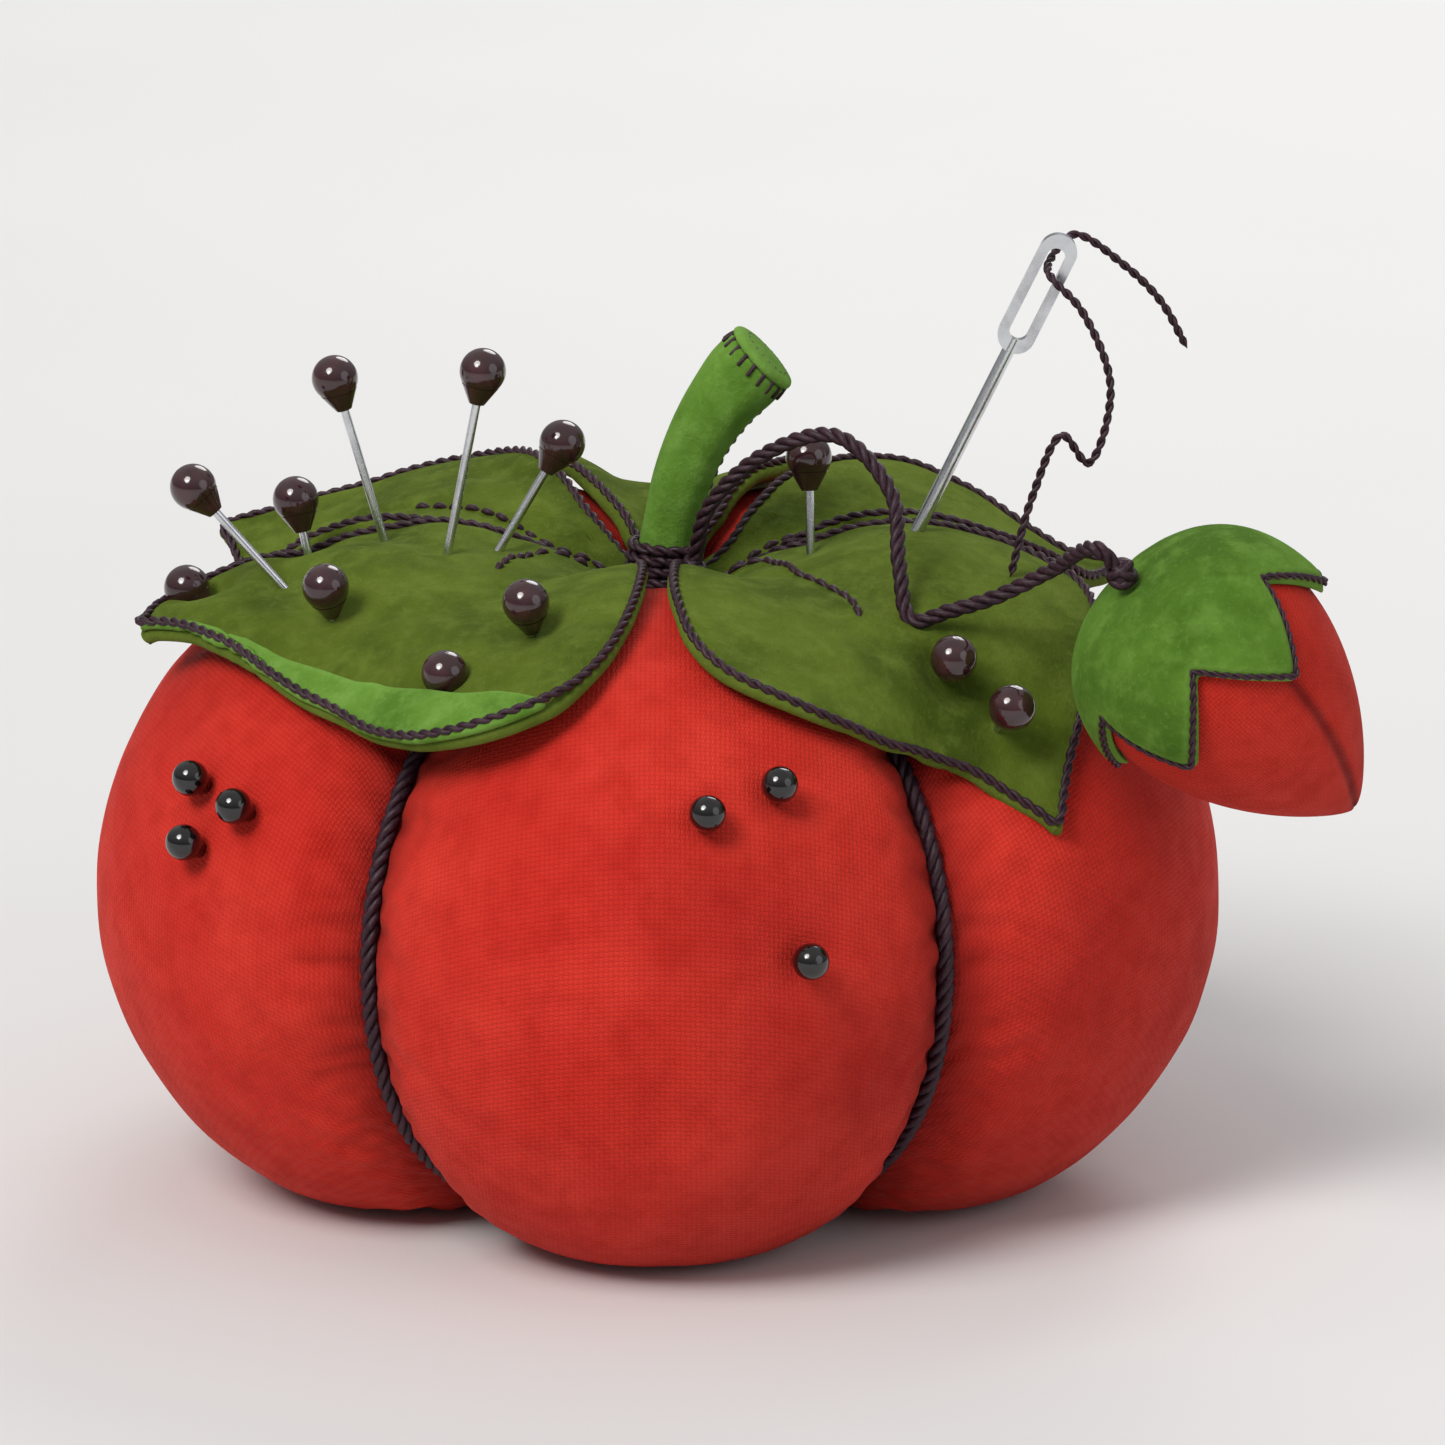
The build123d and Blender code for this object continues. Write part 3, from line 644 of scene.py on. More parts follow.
# Faces that span two lobes get their UVs from one side of the groove only.
layer = body.data.uv_layers["cloth"].data
for polygon in body.data.polygons:
    corners = [layer[k].uv for k in polygon.loop_indices]
    furthest = max(c[0] for c in corners)
    if furthest - min(c[0] for c in corners) > 8:
        for c in corners:
            if c[0] < 0:
                c[0] = furthest + 0.4
place(subdivide(body), RED, "red_cotton", "cushion", "filling",
      *["gore_" + n for n in ("front", "right", "back_right", "back_left", "left")])
body_tree = BVHTree.FromPolygons([Vector(v) for v in solid[0]], solid[1])


def drop(x, y):
    """Height of the cushion's skin under a point, or not a number off its edge."""
    hit = body_tree.ray_cast(Vector((x, y, 90.0)), Vector((0, 0, -1)))
    return hit[0].z if hit[0] is not None else math.nan


def turned(points, bearing):
    """Points given along and across a bearing, in x and y."""
    c, s = math.cos(math.radians(bearing)), math.sin(math.radians(bearing))
    along, across = points[..., 0], points[..., 1]
    return np.stack([along * c - across * s, along * s + across * c], axis=-1)


# ---- floss in the grooves
groove_centre = RING * math.cos(PITCH / 2)
_, groove_reach, groove_rise = lobe_section(PITCH / 2)
strands = []
for n in range(LOBES):
    bearing = LOBE_BEARINGS[0] + PITCH * (n + 0.5)
    t = np.linspace(math.radians(122), -math.radians(122), 160)
    rho = groove_centre + (groove_reach - 0.25) * np.cos(t)
    z = MIDDLE_Z + (groove_rise - 0.25) * np.sin(t)
    path = np.stack([rho * math.cos(bearing), rho * math.sin(bearing), np.maximum(z, 0.75)], axis=1)
    strands.append(twisted(path, 0.62, turn_length=3.3))
thread_piece("groove_floss", merge(strands), "cushion", "cinch_floss")

# ---- felt patch underneath
rows = []
angles = np.linspace(0, TURN, 96, endpoint=False)
for r, z in ((0.4, 0.0), (2.5, 0.0), (5.0, 0.0), (7.0, 0.0), (8.1, 0.03), (8.4, 0.16), (8.5, 0.4), (8.42, 0.66),
             (8.0, 0.88), (7.2, 0.95), (5.0, 0.96), (2.5, 0.95), (0.4, 0.92)):
    edge = 1 + (0.008 if r > 8 else 0) * np.sin(9 * angles)[:, None]
    rows.append(ring_row(polar(0, 0, z), r * edge, *np.eye(3)[:2], angles))
place(make_object("base_patch_felt", *close_rows(rows)), OLIVE, "green_felt", "cushion", "base_patch")
parts = []
for n in range(40):
    a = TURN * n / 40
    parts.append(stitch(polar(7.3, a, 0.25), polar(9.1, a + 0.03, 0.55), 0.05, (0, 0, 1), 0.2))
thread_piece("base_patch_stitches", merge(parts), "cushion")

# ---- felt leaves
LEAF_U = 110
LEAF_V = 64
FELT = 1.25
BACK_EDGE = ((8, 3.5), (13, 6.3), (19, 9.2), (25, 8.4), (30, 4.2))
BACK_VEIN = ((4.6, 0), (9, 0.3), (14, -0.2), (20, 0.2))
LEAVES = {
    "leaf_front_left": {
        "bearing": -150.0, "tip": (35.2, -10.2), "curl": (0.5, 0.35, 0.3), "tip_up": 2.6, "bridge": 1.0,
        "near": ((9, -4.8), (15, -9.0), (21, -12.4), (28, -14.2), (32.4, -13.2)),
        "far": ((5.3, 6.2), (7.9, 11.6), (11.4, 17.2), (16.3, 22.0), (21.2, 24.4), (25.6, 23.8), (28.0, 20.8),
                (29.1, 16.8), (30.0, 12.0), (31.4, 7.2), (32.6, 0.3), (33.8, -5.6)),
        "vein": ((4.4, -0.5), (8.9, -1.1), (12.0, 0.6), (14.8, 3.2)), "stitches": (9, 0.62),
    },
    "leaf_front_right": {
        "bearing": -36.0, "tip": (36.6, -3.0), "curl": (0.45, 0.4, 0.2), "tip_up": -3.0, "bridge": 0.95,
        "near": ((5.9, -5.6), (9.0, -10.7), (12.9, -16.0), (17.1, -19.7), (20.9, -20.9), (24.4, -19.6),
                 (26.6, -15.5), (28.2, -10.8), (30.6, -7.4), (33.4, -5.2)),
        "far": ((9, 4.8), (15, 9.0), (21, 12.2), (26.9, 12.2), (31.2, 7.8), (34.4, 1.6)),
        "vein": ((4.4, 0.8), (8.0, 1.4), (14.4, -2.8), (19.1, -4.6), (21.6, -6.4)), "stitches": (15, 0.86),
    },
}
for leaf, bearing, curl, tip_up in (("leaf_back_right", 25.5, (1.1, 0.8, 2.4), 0.6),
                                    ("leaf_back", 87.0, (0.9, 1.2, 2.6), 0.4),
                                    ("leaf_back_left", 148.5, (1.2, 1.0, 2.4), 0.6)):
    LEAVES[leaf] = {"bearing": bearing, "tip": (33.4, 0), "curl": curl, "tip_up": tip_up, "bridge": 1.0,
                    "tip_slope": 0.9, "near": [(a, -b) for a, b in BACK_EDGE], "far": BACK_EDGE,
                    "vein": BACK_VEIN, "stitches": (12, 0.7)}
# Width of the brighter band along the front left leaf's lower edge, by share of that edge.
BAND_SHARE = (0.45, 0.48, 0.54, 0.60, 0.66, 0.74, 0.84, 0.93, 1.0)
BAND_WIDTH = (0.15, 3.0, 5.2, 5.9, 5.1, 3.7, 1.9, 0.9, 0.15)
BAND_THICK = 0.7
EDGE_POWER = 0.92
# The felt stands off the steep outer cushion, so its outline is drawn in by this much at the rim.
STANDOFF = 1.9


def leaf_side(points, tip, half):
    """One edge of a leaf from root to tip, evenly spaced."""
    path = smooth_path([(a, b, 0) for a, b in [(3.3, half), *points, tip]], 0.2)
    at = np.linspace(0, 1, LEAF_U) ** EDGE_POWER
    length = np.linspace(0, 1, len(path))
    return np.stack([np.interp(at, length, path[:, k]) for k in range(2)], axis=1)


def leaf_sheet(spec):
    """The leaf's middle surface as a grid, its outward normals and each point's distance from the edge."""
    near = leaf_side(spec["near"], spec["tip"], -1.4)
    far = leaf_side(spec["far"], spec["tip"], 1.4)
    share = np.linspace(0, 1, LEAF_V)[None, :, None]
    plan = near[:, None] * (1 - share) + far[:, None] * share
    reach = np.linalg.norm(plan, axis=2, keepdims=True)
    plan = plan * (1 - STANDOFF * np.clip((reach - 22) / 15, 0, 1) ** 1.5 / reach)
    flat = turned(plan, spec["bearing"])
    ground = np.array([[drop(x, y) for x, y in row] for row in flat], float)
    centre = LEAF_V // 2
    for i in range(1, LEAF_U):
        ground[i] = np.where(np.isnan(ground[i]), ground[i - 1] - 0.12, ground[i])
    for step in range(1, centre + 1):
        for j, inner in ((centre + step, centre + step - 1), (centre - step, centre - step + 1)):
            if 0 <= j < LEAF_V:
                ground[:, j] = np.where(np.isnan(ground[:, j]), ground[:, inner], ground[:, j])
    drape = ground.copy()
    for step in range(900):
        along, across = drape.copy(), drape.copy()
        along[1:-1] = 0.5 * (drape[2:] + drape[:-2])
        across[:, 1:-1] = 0.5 * (drape[:, 2:] + drape[:, :-2])
        drape = np.maximum(ground, 0.5 * (along + across))
        if "tip_slope" in spec:
            drape[-1] = drape[-2].mean() - spec["tip_slope"] * np.linalg.norm(plan[-1, 0] - plan[-2].mean(0))
    height = ground + spec["bridge"] * (drape - ground)
    for step in range(3):
        soft = height.copy()
        soft[1:-1, 1:-1] = 0.2 * (height[1:-1, 1:-1] + height[2:, 1:-1] + height[:-2, 1:-1]
                                  + height[1:-1, 2:] + height[1:-1, :-2])
        height = np.maximum(soft, ground)
    sheet = np.concatenate([flat, height[:, :, None]], axis=2)
    normal = sheet_normals(sheet)
    step_u = np.linalg.norm(np.gradient(sheet, axis=0), axis=2)
    step_v = np.linalg.norm(np.gradient(sheet, axis=1), axis=2)
    from_near = np.cumsum(step_v, axis=1) - step_v
    from_far = from_near[:, -1:] - from_near
    from_tip = (np.cumsum(step_u[::-1], axis=0) - step_u[::-1])[::-1]
    return sheet, normal, from_near, from_far, from_tip


def sheet_normals(sheet):
    """Upward normals of a grid, steadied over its last rows, where a leaf narrows to its tip."""
    normal = unit(np.cross(np.gradient(sheet, axis=0), np.gradient(sheet, axis=1)))
    normal = np.where(normal[:, :, 2:] < 0, -normal, normal)
    steady = unit(normal[-14:-5].mean(axis=(0, 1)))
    share = np.clip((np.arange(len(normal)) - len(normal) + 14) / 9, 0, 1)[:, None, None]
    return unit(normal * (1 - share) + steady * share)


def sheet_solid(middle, normal, thickness, rim=0.5):
    """A felt slab: the sheet given thickness, with its rim rounded over."""
    nu, nv = middle.shape[:2]
    half = np.broadcast_to(np.asarray(thickness, float), (nu, nv))[:, :, None] / 2
    verts = np.concatenate([(middle + normal * half).reshape(-1, 3), (middle - normal * half).reshape(-1, 3)])
    total = nu * nv
    faces = quads(nu, nv) + quads(nu, nv, total, flip=True)
    border = [(i, 0) for i in range(nu)] + [(nu - 1, j) for j in range(1, nv)]
    border += [(i, nv - 1) for i in range(nu - 2, -1, -1)] + [(0, j) for j in range(nv - 2, 0, -1)]
    ring = [i * nv + j for i, j in border]
    points, ns, halves = middle.reshape(-1, 3)[ring], normal.reshape(-1, 3)[ring], half.ravel()[ring]
    tangent = np.roll(points, -1, axis=0) - np.roll(points, 1, axis=0)
    out = unit(np.cross(tangent, ns))
    if np.sum(out * (points - middle.mean((0, 1)))) < 0:
        out = -out
    extra, rings = [], [ring]
    for angle in (55, 20, -20, -55):
        c, s = math.cos(math.radians(angle)), math.sin(math.radians(angle))
        first = 2 * total + len(extra) * len(border)
        extra.append(points + out * (rim * c * halves / halves.max())[:, None] + ns * (s * halves)[:, None])
        rings.append(list(range(first, first + len(border))))
    rings.append([total + k for k in ring])
    verts = np.concatenate([verts] + extra)
    for upper, lower in zip(rings, rings[1:]):
        for k in range(len(border)):
            m = (k + 1) % len(border)
            faces.append((upper[k], lower[k], lower[m], upper[m]))
    return verts, faces


def tidy_solid(obj):
    """Merges doubled points and turns all faces outward."""
    work = bmesh.new()
    work.from_mesh(obj.data)
    bmesh.ops.remove_doubles(work, verts=work.verts, dist=0.02 * MM)
    bmesh.ops.dissolve_degenerate(work, edges=work.edges, dist=0.005 * MM)
    bmesh.ops.recalc_face_normals(work, faces=work.faces)
    work.to_mesh(obj.data)
    work.free()
    obj.data.shade_smooth()
    return obj


def shade_edge(obj, line, reach):
    """Marks the points near a line, where the felt is coloured lighter."""
    co = np.array([p.co for p in obj.data.vertices]) / MM
    gap = np.array([np.min(np.linalg.norm(line - p, axis=1)) for p in co])
    add_float(obj, "edge", np.exp(-(gap / reach) ** 2))


def place_leaf_piece(obj, leaf, material):
    paint(obj, material)
    if leaf in frame["bodies"]:
        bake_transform(obj)
    else:
        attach(obj, "cushion")
    return obj


def soften(points):
    """A run of points with its small kinks averaged out and its ends kept."""
    points = points.copy()
    for step in range(12):
        points[1:-1] = 0.5 * points[1:-1] + 0.25 * (points[2:] + points[:-2])
    return points


def along_sheet(surface, i, j):
    """Point of a grid at fractional row i and column j."""
    i0, j0 = int(min(i, surface.shape[0] - 2)), int(min(j, surface.shape[1] - 2))
    a, b = i - i0, j - j0
    return ((1 - a) * (1 - b) * surface[i0, j0] + a * (1 - b) * surface[i0 + 1, j0]
            + (1 - a) * b * surface[i0, j0 + 1] + a * b * surface[i0 + 1, j0 + 1])


for leaf, spec in LEAVES.items():
    sheet, normal, from_near, from_far, from_tip = leaf_sheet(spec)
    u = np.linspace(0, 1, LEAF_U)[:, None]
    v = np.linspace(-1, 1, LEAF_V)[None, :]
    near_curl, far_curl, tip_curl = spec["curl"]
    wave = 0.75 + 0.45 * np.sin(u * 9.0 + 2.1 * v + len(leaf))
    free = np.clip((u - 0.10) / 0.25, 0, 1)
    open_up = free ** 2 * (3 - 2 * free)
    lift = near_curl * wave * open_up * np.exp(-(from_near / 2.4) ** 2)
    lift = lift + far_curl * wave[::-1] * open_up * np.exp(-(from_far / 2.4) ** 2)
    lift = lift + tip_curl * np.exp(-(from_tip / 4.5) ** 1.6)
    crease = 0.30 * np.exp(-(v / 0.07) ** 2) * np.sin(math.pi * np.clip(u * 1.25, 0, 1))
    bumps = 0.14 * value_noise(sheet.reshape(-1, 3), 9.0, 31).reshape(lift.shape)
    offset = 0.32 + FELT / 2 + lift - crease + np.abs(bumps)
    middle = sheet + normal * offset[:, :, None]
    floor_gap = np.sum((middle - sheet) * normal, axis=2)
    middle = middle + normal * np.maximum(0, FELT / 2 + 0.12 - floor_gap)[:, :, None]
    for pin in PINS:
        if pin["on_leaf"]:
            gap = np.linalg.norm(middle - (pin["seat"] - normal * FELT / 2), axis=2)
            weight = np.exp(-(gap / 2.5) ** 4)
            miss = np.sum((pin["seat"] - normal * (FELT / 2 + 0.05) - middle) * normal, axis=2)
            pull = weight * np.clip(miss, -1.6, 1.2)
            middle = middle + normal * pull[:, :, None]
    middle[:, :, 2] += spec["tip_up"] * np.exp(-(from_tip / 7.5) ** 1.8)
    normal = sheet_normals(middle)
    edge = np.minimum(np.minimum(from_near, from_far), from_tip)
    thickness = FELT * (0.78 + 0.22 * np.clip(edge / 1.2, 0, 1))
    obj = tidy_solid(make_object(leaf + "_felt", *sheet_solid(middle, normal, thickness, rim=0.45)))
    tree = BVHTree.FromPolygons([Vector(p) for p in middle.reshape(-1, 3)], quads(LEAF_U, LEAF_V))
    shade_edge(obj, np.concatenate([middle[:, 0], middle[:, -1], middle[-1:, LEAF_V // 2]]), 1.0)
    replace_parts(place_leaf_piece(subdivide(obj), leaf, OLIVE), leaf)

    # A dark cord sewn along the leaf's edge, over the band where there is one.
    top = middle + normal * (thickness / 2)[:, :, None]
    border, up = (np.concatenate([grid[:, 0], grid[-2::-1, -1]]) for grid in (top, normal))
    rise_by = np.full(len(border), 0.14)
    if leaf == "leaf_front_left":
        share = (np.arange(LEAF_U - 2, -1, -1) / (LEAF_U - 1)) ** EDGE_POWER
        rise_by[LEAF_U:] += BAND_THICK * np.interp(share, (0.405, 0.44, 1), (0, 1, 1))
        rise_by[LEAF_U - 6:LEAF_U] += BAND_THICK * np.arange(1, 7) / 6
    border = border + up * rise_by[:, None]
    border = [*soften(border[:LEAF_U]), *soften(border[LEAF_U - 1:])[1:]]
    outline = even_path(smooth_path(border[::2] + border[-1:], 0.3), 0.3)
    edging = make_object(leaf + "_edging", *twisted(outline, 0.36, plies=2, turn_length=2.0, sides=7, step=0.3))
    place_leaf_piece(edging, leaf, PLUM)

    # Stitches for the leaf's vein, sewn along a line laid out on the leaf.
    line = smooth_path([(a, b, 0) for a, b in spec["vein"]], 0.1)
    count, dash = spec["stitches"]
    spots = []
    for x, y in turned(line[:, :2], spec["bearing"]):
        hit = tree.ray_cast(Vector((x, y, 90)), Vector((0, 0, -1)))
        if hit[0] is not None:
            up = np.array(hit[1]) * (1 if hit[1].z > 0 else -1)
            spots.append((np.array(hit[0]) + up * FELT / 2, up))
    parts = []
    for n in range(count):
        (start, up), (stop, _) = (spots[int(at / count * (len(spots) - 1))] for at in (n, n + dash))
        parts.append(stitch(start, stop, 0.26, up, 0.25))
    place_leaf_piece(make_object(leaf + "_vein", *merge(parts)), leaf, PLUM)

    # A band of brighter felt is laid along the front left leaf's lower edge.
    if leaf == "leaf_front_left":
        rows, cols = 100, 16
        band = np.zeros((rows, cols, 3))
        for i in range(rows):
            share = BAND_SHARE[0] + (0.995 - BAND_SHARE[0]) * i / (rows - 1)
            wide = float(np.interp(share, BAND_SHARE, BAND_WIDTH))
            row = share ** (1 / EDGE_POWER) * (LEAF_U - 1)
            lane = [along_sheet(from_far, row, j) for j in range(LEAF_V - 1, -1, -1)]
            for j in range(cols):
                back = min(wide, lane[-1] * 0.9) * j / (cols - 1)
                col = float(np.interp(back, lane, range(LEAF_V - 1, -1, -1)))
                up = along_sheet(normal, row, col)
                band[i, j] = along_sheet(top, row, col) + up * (BAND_THICK / 2 + 0.03)
        solid = sheet_solid(band, sheet_normals(band), BAND_THICK, rim=0.3)
        turn_up = tidy_solid(make_object(leaf + "_band", *solid))
        shade_edge(turn_up, band[:, -1], 0.7)
        place_leaf_piece(subdivide(turn_up), leaf, LIME)

# ---- stem
STEM_SEAM = 3.6
stem_foot = (0, 0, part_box("stem_core")[0].z / MM)
STEM_PATH = smooth_path([stem_foot, (0.25, 0.05, 42.5), (1.1, 0.2, 47.3), (3.1, 0.3, 52.6), (6.7, 0.3, 57.2)],
                        ends=((0, 0, 1), (0.84, -0.05, 0.54)))
share = np.linspace(0, 1, len(STEM_PATH))
stem_radius = np.interp(share, (0, 0.12, 0.3, 0.5, 0.75, 0.93, 1), (2.25, 2.0, 1.85, 1.98, 2.3, 2.72, 2.78))
stem_radius = stem_radius + 0.05 * value_noise(STEM_PATH, 5.0, 9)
tangent, a_dir, b_dir = path_frames(STEM_PATH)
angles = np.linspace(0, TURN, 40, endpoint=False)
ridge = 1 + 0.035 * np.cos(5 * angles + 0.4) - 0.07 * np.exp(-((angles - STEM_SEAM) / 0.12) ** 2)
rows = [ring_row(STEM_PATH[k], stem_radius[k] * ridge[:, None], a_dir[k], b_dir[k], angles)
        for k in range(len(STEM_PATH))]
end, end_dir = STEM_PATH[-1], tangent[-1]
for r, h in ((0.985, 0.22), (0.93, 0.36), (0.86, 0.36), (0.6, 0.36), (0.2, 0.36)):
    rows.append(ring_row(end + end_dir * h, stem_radius[-1] * r, a_dir[-1], b_dir[-1], angles))
verts, faces = close_rows(rows)
stem = make_object("stem_felt_tube", verts, faces)
add_float(stem, "edge", np.zeros(len(verts)))
place(subdivide(tidy_solid(stem)), LIME, "stem_felt", "cushion", "stem_cover", "stem_core")
wobble = stem_radius[-1] * (1 + 0.012 * np.sin(7 * angles))[:, None]
verts, faces = close_rows([
    ring_row(end + end_dir * h, r * wobble, a_dir[-1], b_dir[-1], angles)
    for r, h in ((0.3, 0.30), (0.9, 0.30), (1.0, 0.42), (1.02, 0.66), (0.98, 0.92), (0.88, 1.06), (0.55, 1.16),
                 (0.15, 1.2))])
disc = make_object("stem_end_felt", verts, faces)
add_float(disc, "edge", np.clip((np.linalg.norm(verts - end - end_dir * 1.1, axis=1) - 1.6) / 1.2, 0, 1))
place(subdivide(tidy_solid(disc)), LIME, "stem_felt", "cushion", "stem_end_disc")


def outward(k, angle):
    """Direction out of the stem at one of its steps."""
    return math.cos(angle) * a_dir[k] + math.sin(angle) * b_dir[k]


parts = []
for n in range(18):
    out0, out1 = outward(-1, TURN * n / 18), outward(-1, TURN * n / 18 + 0.12)
    parts.append(stitch(end + end_dir * 1.12 + out0 * stem_radius[-1] * 0.70,
                        end - end_dir * 0.35 + out1 * stem_radius[-1] * 1.04, 0.30, out0 + end_dir, 0.17))
for n in range(15):
    k0 = int((0.22 + 0.70 * n / 15) * len(STEM_PATH))
    k1 = min(k0 + int(0.026 * len(STEM_PATH)), len(STEM_PATH) - 1)
    out = outward(k0, STEM_SEAM)
    side_dir = np.cross(tangent[k0], out)
    parts.append(stitch(STEM_PATH[k0] + out * stem_radius[k0] * 0.97 - side_dir * 0.42,
                        STEM_PATH[k1] + out * stem_radius[k1] * 0.97 + side_dir * 0.42, 0.14, out, 0.17))
thread_piece("stem_stitches", merge(parts), "cushion")

# ---- cord: turns round the stem, arch, free end
WRAPS = 3.6
bend = np.array(JOINTS["cord_lift"]["pos_m"]) / MM
ARCH = [(2.4, -3.4, 43.7), (3.4, -4.9, 48.2), (7.2, -6.6, 52.4), (12.2, -9.0, 54.3), (15.9, -12.0, 51.0),
        (16.4, -15.2, 46.8), bend]
TAIL = [(19.7, -18.1, 44.3), (22.8, -18.6, 45.4), (26.4, -20.2, 47.6), emery_knot - emery_axis * 2.6,
        emery_knot - emery_axis * 0.5]
solid = twisted(smooth_path(ARCH + TAIL, 0.2), 0.56, turn_length=3.2, step=0.2)
cord = paint(make_object("cord", *solid), PLUM)
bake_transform(cord)
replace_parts(cord, "cord_arch", "cord_tail")
wind = []
for q in np.linspace(0, 1, 260):
    exact = int(0.225 * len(STEM_PATH)) + q * 0.125 * len(STEM_PATH)
    k = min(int(exact), len(STEM_PATH) - 1)
    centre = np.array([np.interp(exact, range(len(STEM_PATH)), STEM_PATH[:, d]) for d in range(3)])
    wind.append(centre + (stem_radius[k] + 0.42) * outward(k, TURN * WRAPS * q))
thread_piece("cord_wraps", twisted(wind, 0.44, plies=2, turn_length=2.2, step=0.2), "cushion")
thread_piece("cord_root_knot", knot_ball(ARCH[0], 0.95), "cushion")
thread_piece("emery_knot_wound", knot_ball(emery_knot, 1.12), "emery_loop", "emery_knot")

# ---- strawberry emery
BERRY_RADIUS = 8.3
BERRY_LENGTH = 22.5
berry_top = emery_knot + emery_axis * 2.2
berry_x = unit(np.cross([0, 1, 0], emery_axis))
berry_y = np.cross(emery_axis, berry_x)


def berry_profile(grow, count=60):
    """Radius and depth down the berry from its top, a little outside its cloth."""
    t = np.linspace(0, 1, count)
    r = 3 * t * (1 - t) ** 2 * (1.5 * BERRY_RADIUS + 1.3 * grow)
    r = r + 3 * t ** 2 * (1 - t) * (1.2 * BERRY_RADIUS + 1.3 * grow)
    d = -grow * (1 - t) ** 3 + 3 * t * (1 - t) ** 2 * (-1 - grow) + 3 * t ** 2 * (1 - t) * (14 + 0.6 * grow)
    d = d + t ** 3 * (BERRY_LENGTH + 1.3 * grow)
    return r, d


def berry_point(r, depth, angle):
    """Points round the berry's axis."""
    r, depth, angle = (value[..., None] for value in np.broadcast_arrays(r, depth, angle))
    return berry_top + emery_axis * depth + r * (berry_x * np.cos(angle) + berry_y * np.sin(angle))


def arc_length(r, d):
    return np.concatenate([[0], np.cumsum(np.hypot(np.diff(r), np.diff(d)))])


BERRY_SIDES = 96
radii, depths = berry_profile(0)
arc = arc_length(radii, depths)
within = slice(-2, 0, -1)
angle = TURN * np.arange(BERRY_SIDES)[:, None] / BERRY_SIDES
third = (angle * 3 / TURN) % 1
seam = np.exp(-((np.minimum(third, 1 - third) * TURN / 3 * radii[within]) / 0.5) ** 2)
pull = 0.38 * seam + 0.10 * seam * np.sin(arc[within] * 2.4)
swell = 0.064 * np.sin(3 * angle + 0.12 * arc[within])
berry = make_object("emery_body", *closed(
    berry_point(np.maximum(0.05, radii[within] - pull + swell - 0.02), depths[within], angle)))
# Painted shade: the cloth is darker along the pulled-in seams.
add_float(berry, "painted_shade", [*seam.ravel(), 0, 0])
uv = np.stack(np.broadcast_arrays(angle * BERRY_RADIUS, arc[within]), axis=-1).reshape(-1, 2)
add_uv(berry, [*uv, (0, arc[-1]), (0, 0)])
place(subdivide(berry), EMERY_RED, "red_cotton", "emery", "emery_cover", "emery_sand")

CAP_COLUMNS = 6 * 16
CAP_ROWS = 26


def cap_skin(radii_of, depths_of):
    """Cap surface from its gathered top to its edge with six points."""
    run = arc_length(radii_of, depths_of)
    n = np.arange(CAP_COLUMNS)[:, None]
    angle = TURN * n / CAP_COLUMNS
    zig = np.abs((n / 16) % 1 * 2 - 1)
    s = 0.25 + (9.15 + 5.6 * zig) * (np.arange(CAP_ROWS) / (CAP_ROWS - 1)) ** 0.9
    pleat = 0.16 * np.cos(angle * 18) * np.exp(-((s - 1.5) / 3.0) ** 2)
    flare = 0.45 * np.maximum(0, (s - 8.5) / 6.5) ** 2 * zig
    return berry_point(np.interp(s, run, radii_of) + pleat + flare * 0.8,
                       np.interp(s, run, depths_of) - flare * 0.2, angle)


outside, inside = cap_skin(*berry_profile(0.95)), cap_skin(*berry_profile(0.12))
both = np.concatenate([outside, inside[:, ::-1]], axis=1)
cap = make_object("emery_cap_felt", *closed(both))
edge_values = np.clip((np.arange(CAP_ROWS) - CAP_ROWS + 5) / 4, 0, 1)
add_float(cap, "edge", [*np.tile([*edge_values, *edge_values[::-1]], len(both)), 0, 0])
place(subdivide(tidy_solid(cap)), CAP_GREEN, "green_felt", "emery", "emery_cap")
rim = outside[:, -1] * 0.72 + inside[:, -1] * 0.28 + emery_axis * 0.12
rim = np.concatenate([rim, rim[:1]])
rim = twisted(even_path(rim, 0.2), 0.27, plies=2, turn_length=1.6, sides=7)
thread_piece("emery_cap_edging", rim, "emery")

# ---- needle thread
needle_co = np.array([v.co for v in frame["nodes"]["needle"].data.vertices]) / MM
along = needle_co @ needle_axis
needle_foot = (needle_co - np.outer(along, needle_axis)).mean(0)
eye_top = needle_foot + needle_axis * (along.max() - 2.6)
THREAD = [(24.1, -9.7, 44.6), (25.6, -8.7, 50.0), (27.6, -8.3, 54.2), (29.4, -8.2, 52.2), (30.9, -8.0, 57.4),
          (29.0, -6.6, 62.4), eye_top - [0, 1.2, 0.2], eye_top + [0.1, 1.2, 0.4], (28.6, -0.9, 66.6),
          (32.0, -0.6, 64.4), (34.6, -0.6, 61.8), (36.4, -0.8, 58.6)]
solid = twisted(smooth_path(THREAD, 0.15), 0.31, plies=2, turn_length=1.7, step=0.15, ends=0.8)
thread_piece("needle_thread_twist", solid, "needle", "needle_thread")

# ---- pins and needle keep their own shapes
kept = {"needle": STEEL}
for pin in PINS:
    kept["pin_shaft_" + pin["name"]] = STEEL
    kept["pin_head_" + pin["name"]] = PLUM_BEAD if pin["on_leaf"] else BLACK_BEAD
for node, material in kept.items():
    paint(frame["nodes"][node], material).data.shade_smooth()

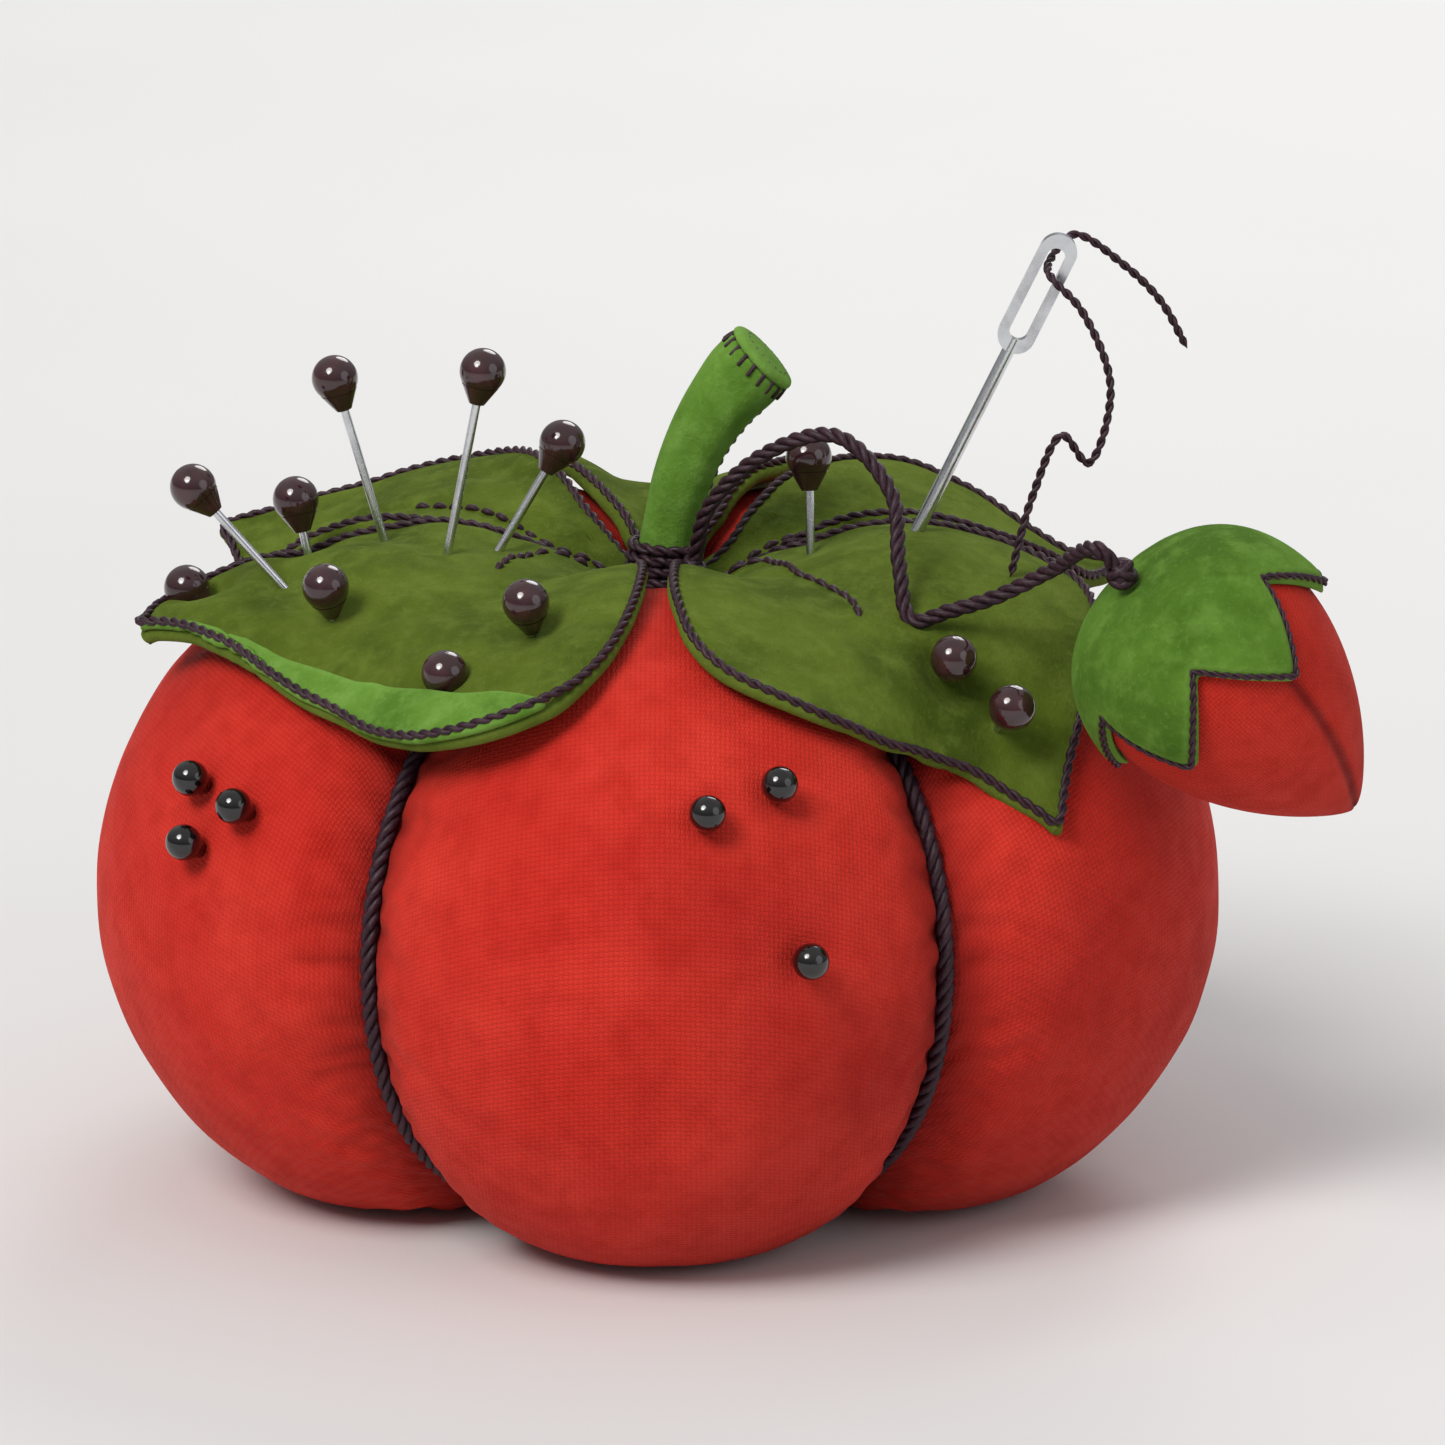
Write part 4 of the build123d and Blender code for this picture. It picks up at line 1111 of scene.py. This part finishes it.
# ---- floor, light and camera
angles = np.linspace(0, TURN, 96, endpoint=False)
floor_verts = [polar(r, a, -0.06) for r, a in [(0, 0)] + [(20000, a) for a in angles]]
floor = make_object("floor", floor_verts, [(0, 1 + n, 1 + (n + 1) % 96) for n in range(96)], smooth=False)
ground = Nodes("floor_paint")
tone = ground.mix(ground.ramp(ground.noise(6, 3), 0.3, 0.7), (0.70, 0.70, 0.70), (0.72, 0.72, 0.72))
floor.data.materials.append(ground.finish(tone, 0.9, Specular_IOR_Level=0.2))
floor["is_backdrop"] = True

world = bpy.data.worlds.new("studio")
world.use_nodes = True
sky = world.node_tree
spot = sky.nodes.new("ShaderNodeTexCoord")
parts_of = sky.nodes.new("ShaderNodeSeparateXYZ")
sky.links.new(spot.outputs["Generated"], parts_of.inputs[0])
fade = sky.nodes.new("ShaderNodeValToRGB")
low_end, high_end = fade.color_ramp.elements
low_end.position, low_end.color = 0.0, (0.34, 0.35, 0.37, 1)
high_end.position, high_end.color = 0.75, (1.0, 1.0, 1.0, 1)
sky.links.new(parts_of.outputs["Z"], fade.inputs[0])
sky.links.new(fade.outputs[0], sky.nodes["Background"].inputs[0])
sky.nodes["Background"].inputs[1].default_value = 0.50
scene.world = world


def aimed(name, data, place, target):
    """An object at a place, turned to face its target."""
    obj = bpy.data.objects.new(name, data)
    scene.collection.objects.link(obj)
    obj.location = place
    obj.rotation_mode = "QUATERNION"
    obj.rotation_quaternion = (Vector(target) - Vector(place)).to_track_quat("-Z", "Y")
    return obj


def area_light(name, place, target, size, power, color=(1, 1, 1)):
    data = bpy.data.lights.new(name, "AREA")
    data.shape = "DISK"
    data.size = size
    data.energy = power
    data.color = color
    aimed(name, data, place, target)


sun_data = bpy.data.lights.new("key", "SUN")
sun_data.energy = 1.75
sun_data.angle = math.radians(28)
sun_data.color = (1.0, 0.975, 0.94)
aimed("key", sun_data, (-0.42, -0.52, 0.72), (0, 0, 0))
area_light("fill", (0.50, -0.34, 0.26), (0, 0, 0.03), 0.50, 0.55, (0.94, 0.97, 1.0))
area_light("back", (0.16, 0.50, 0.46), (0, 0, 0.04), 0.34, 1.2)
area_light("window", (-0.30, -0.40, 0.42), (0, 0, 0.04), 0.16, 0.7)

low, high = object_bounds()
look_at = Vector(((low.x + high.x) / 2, 0, (low.z + high.z) / 2 - 0.002))
elevation = math.radians(15)
camera_data = bpy.data.cameras.new("camera")
camera_data.lens = 260
camera_data.clip_start = 0.01
camera_data.clip_end = 60
distance = (high.x - low.x) * 1.16 * camera_data.lens / camera_data.sensor_width
eye = look_at + distance * Vector((0, -math.cos(elevation), math.sin(elevation)))
bpy.context.scene.camera = aimed("camera", camera_data, eye, look_at)
scene.view_settings.view_transform = "Standard"
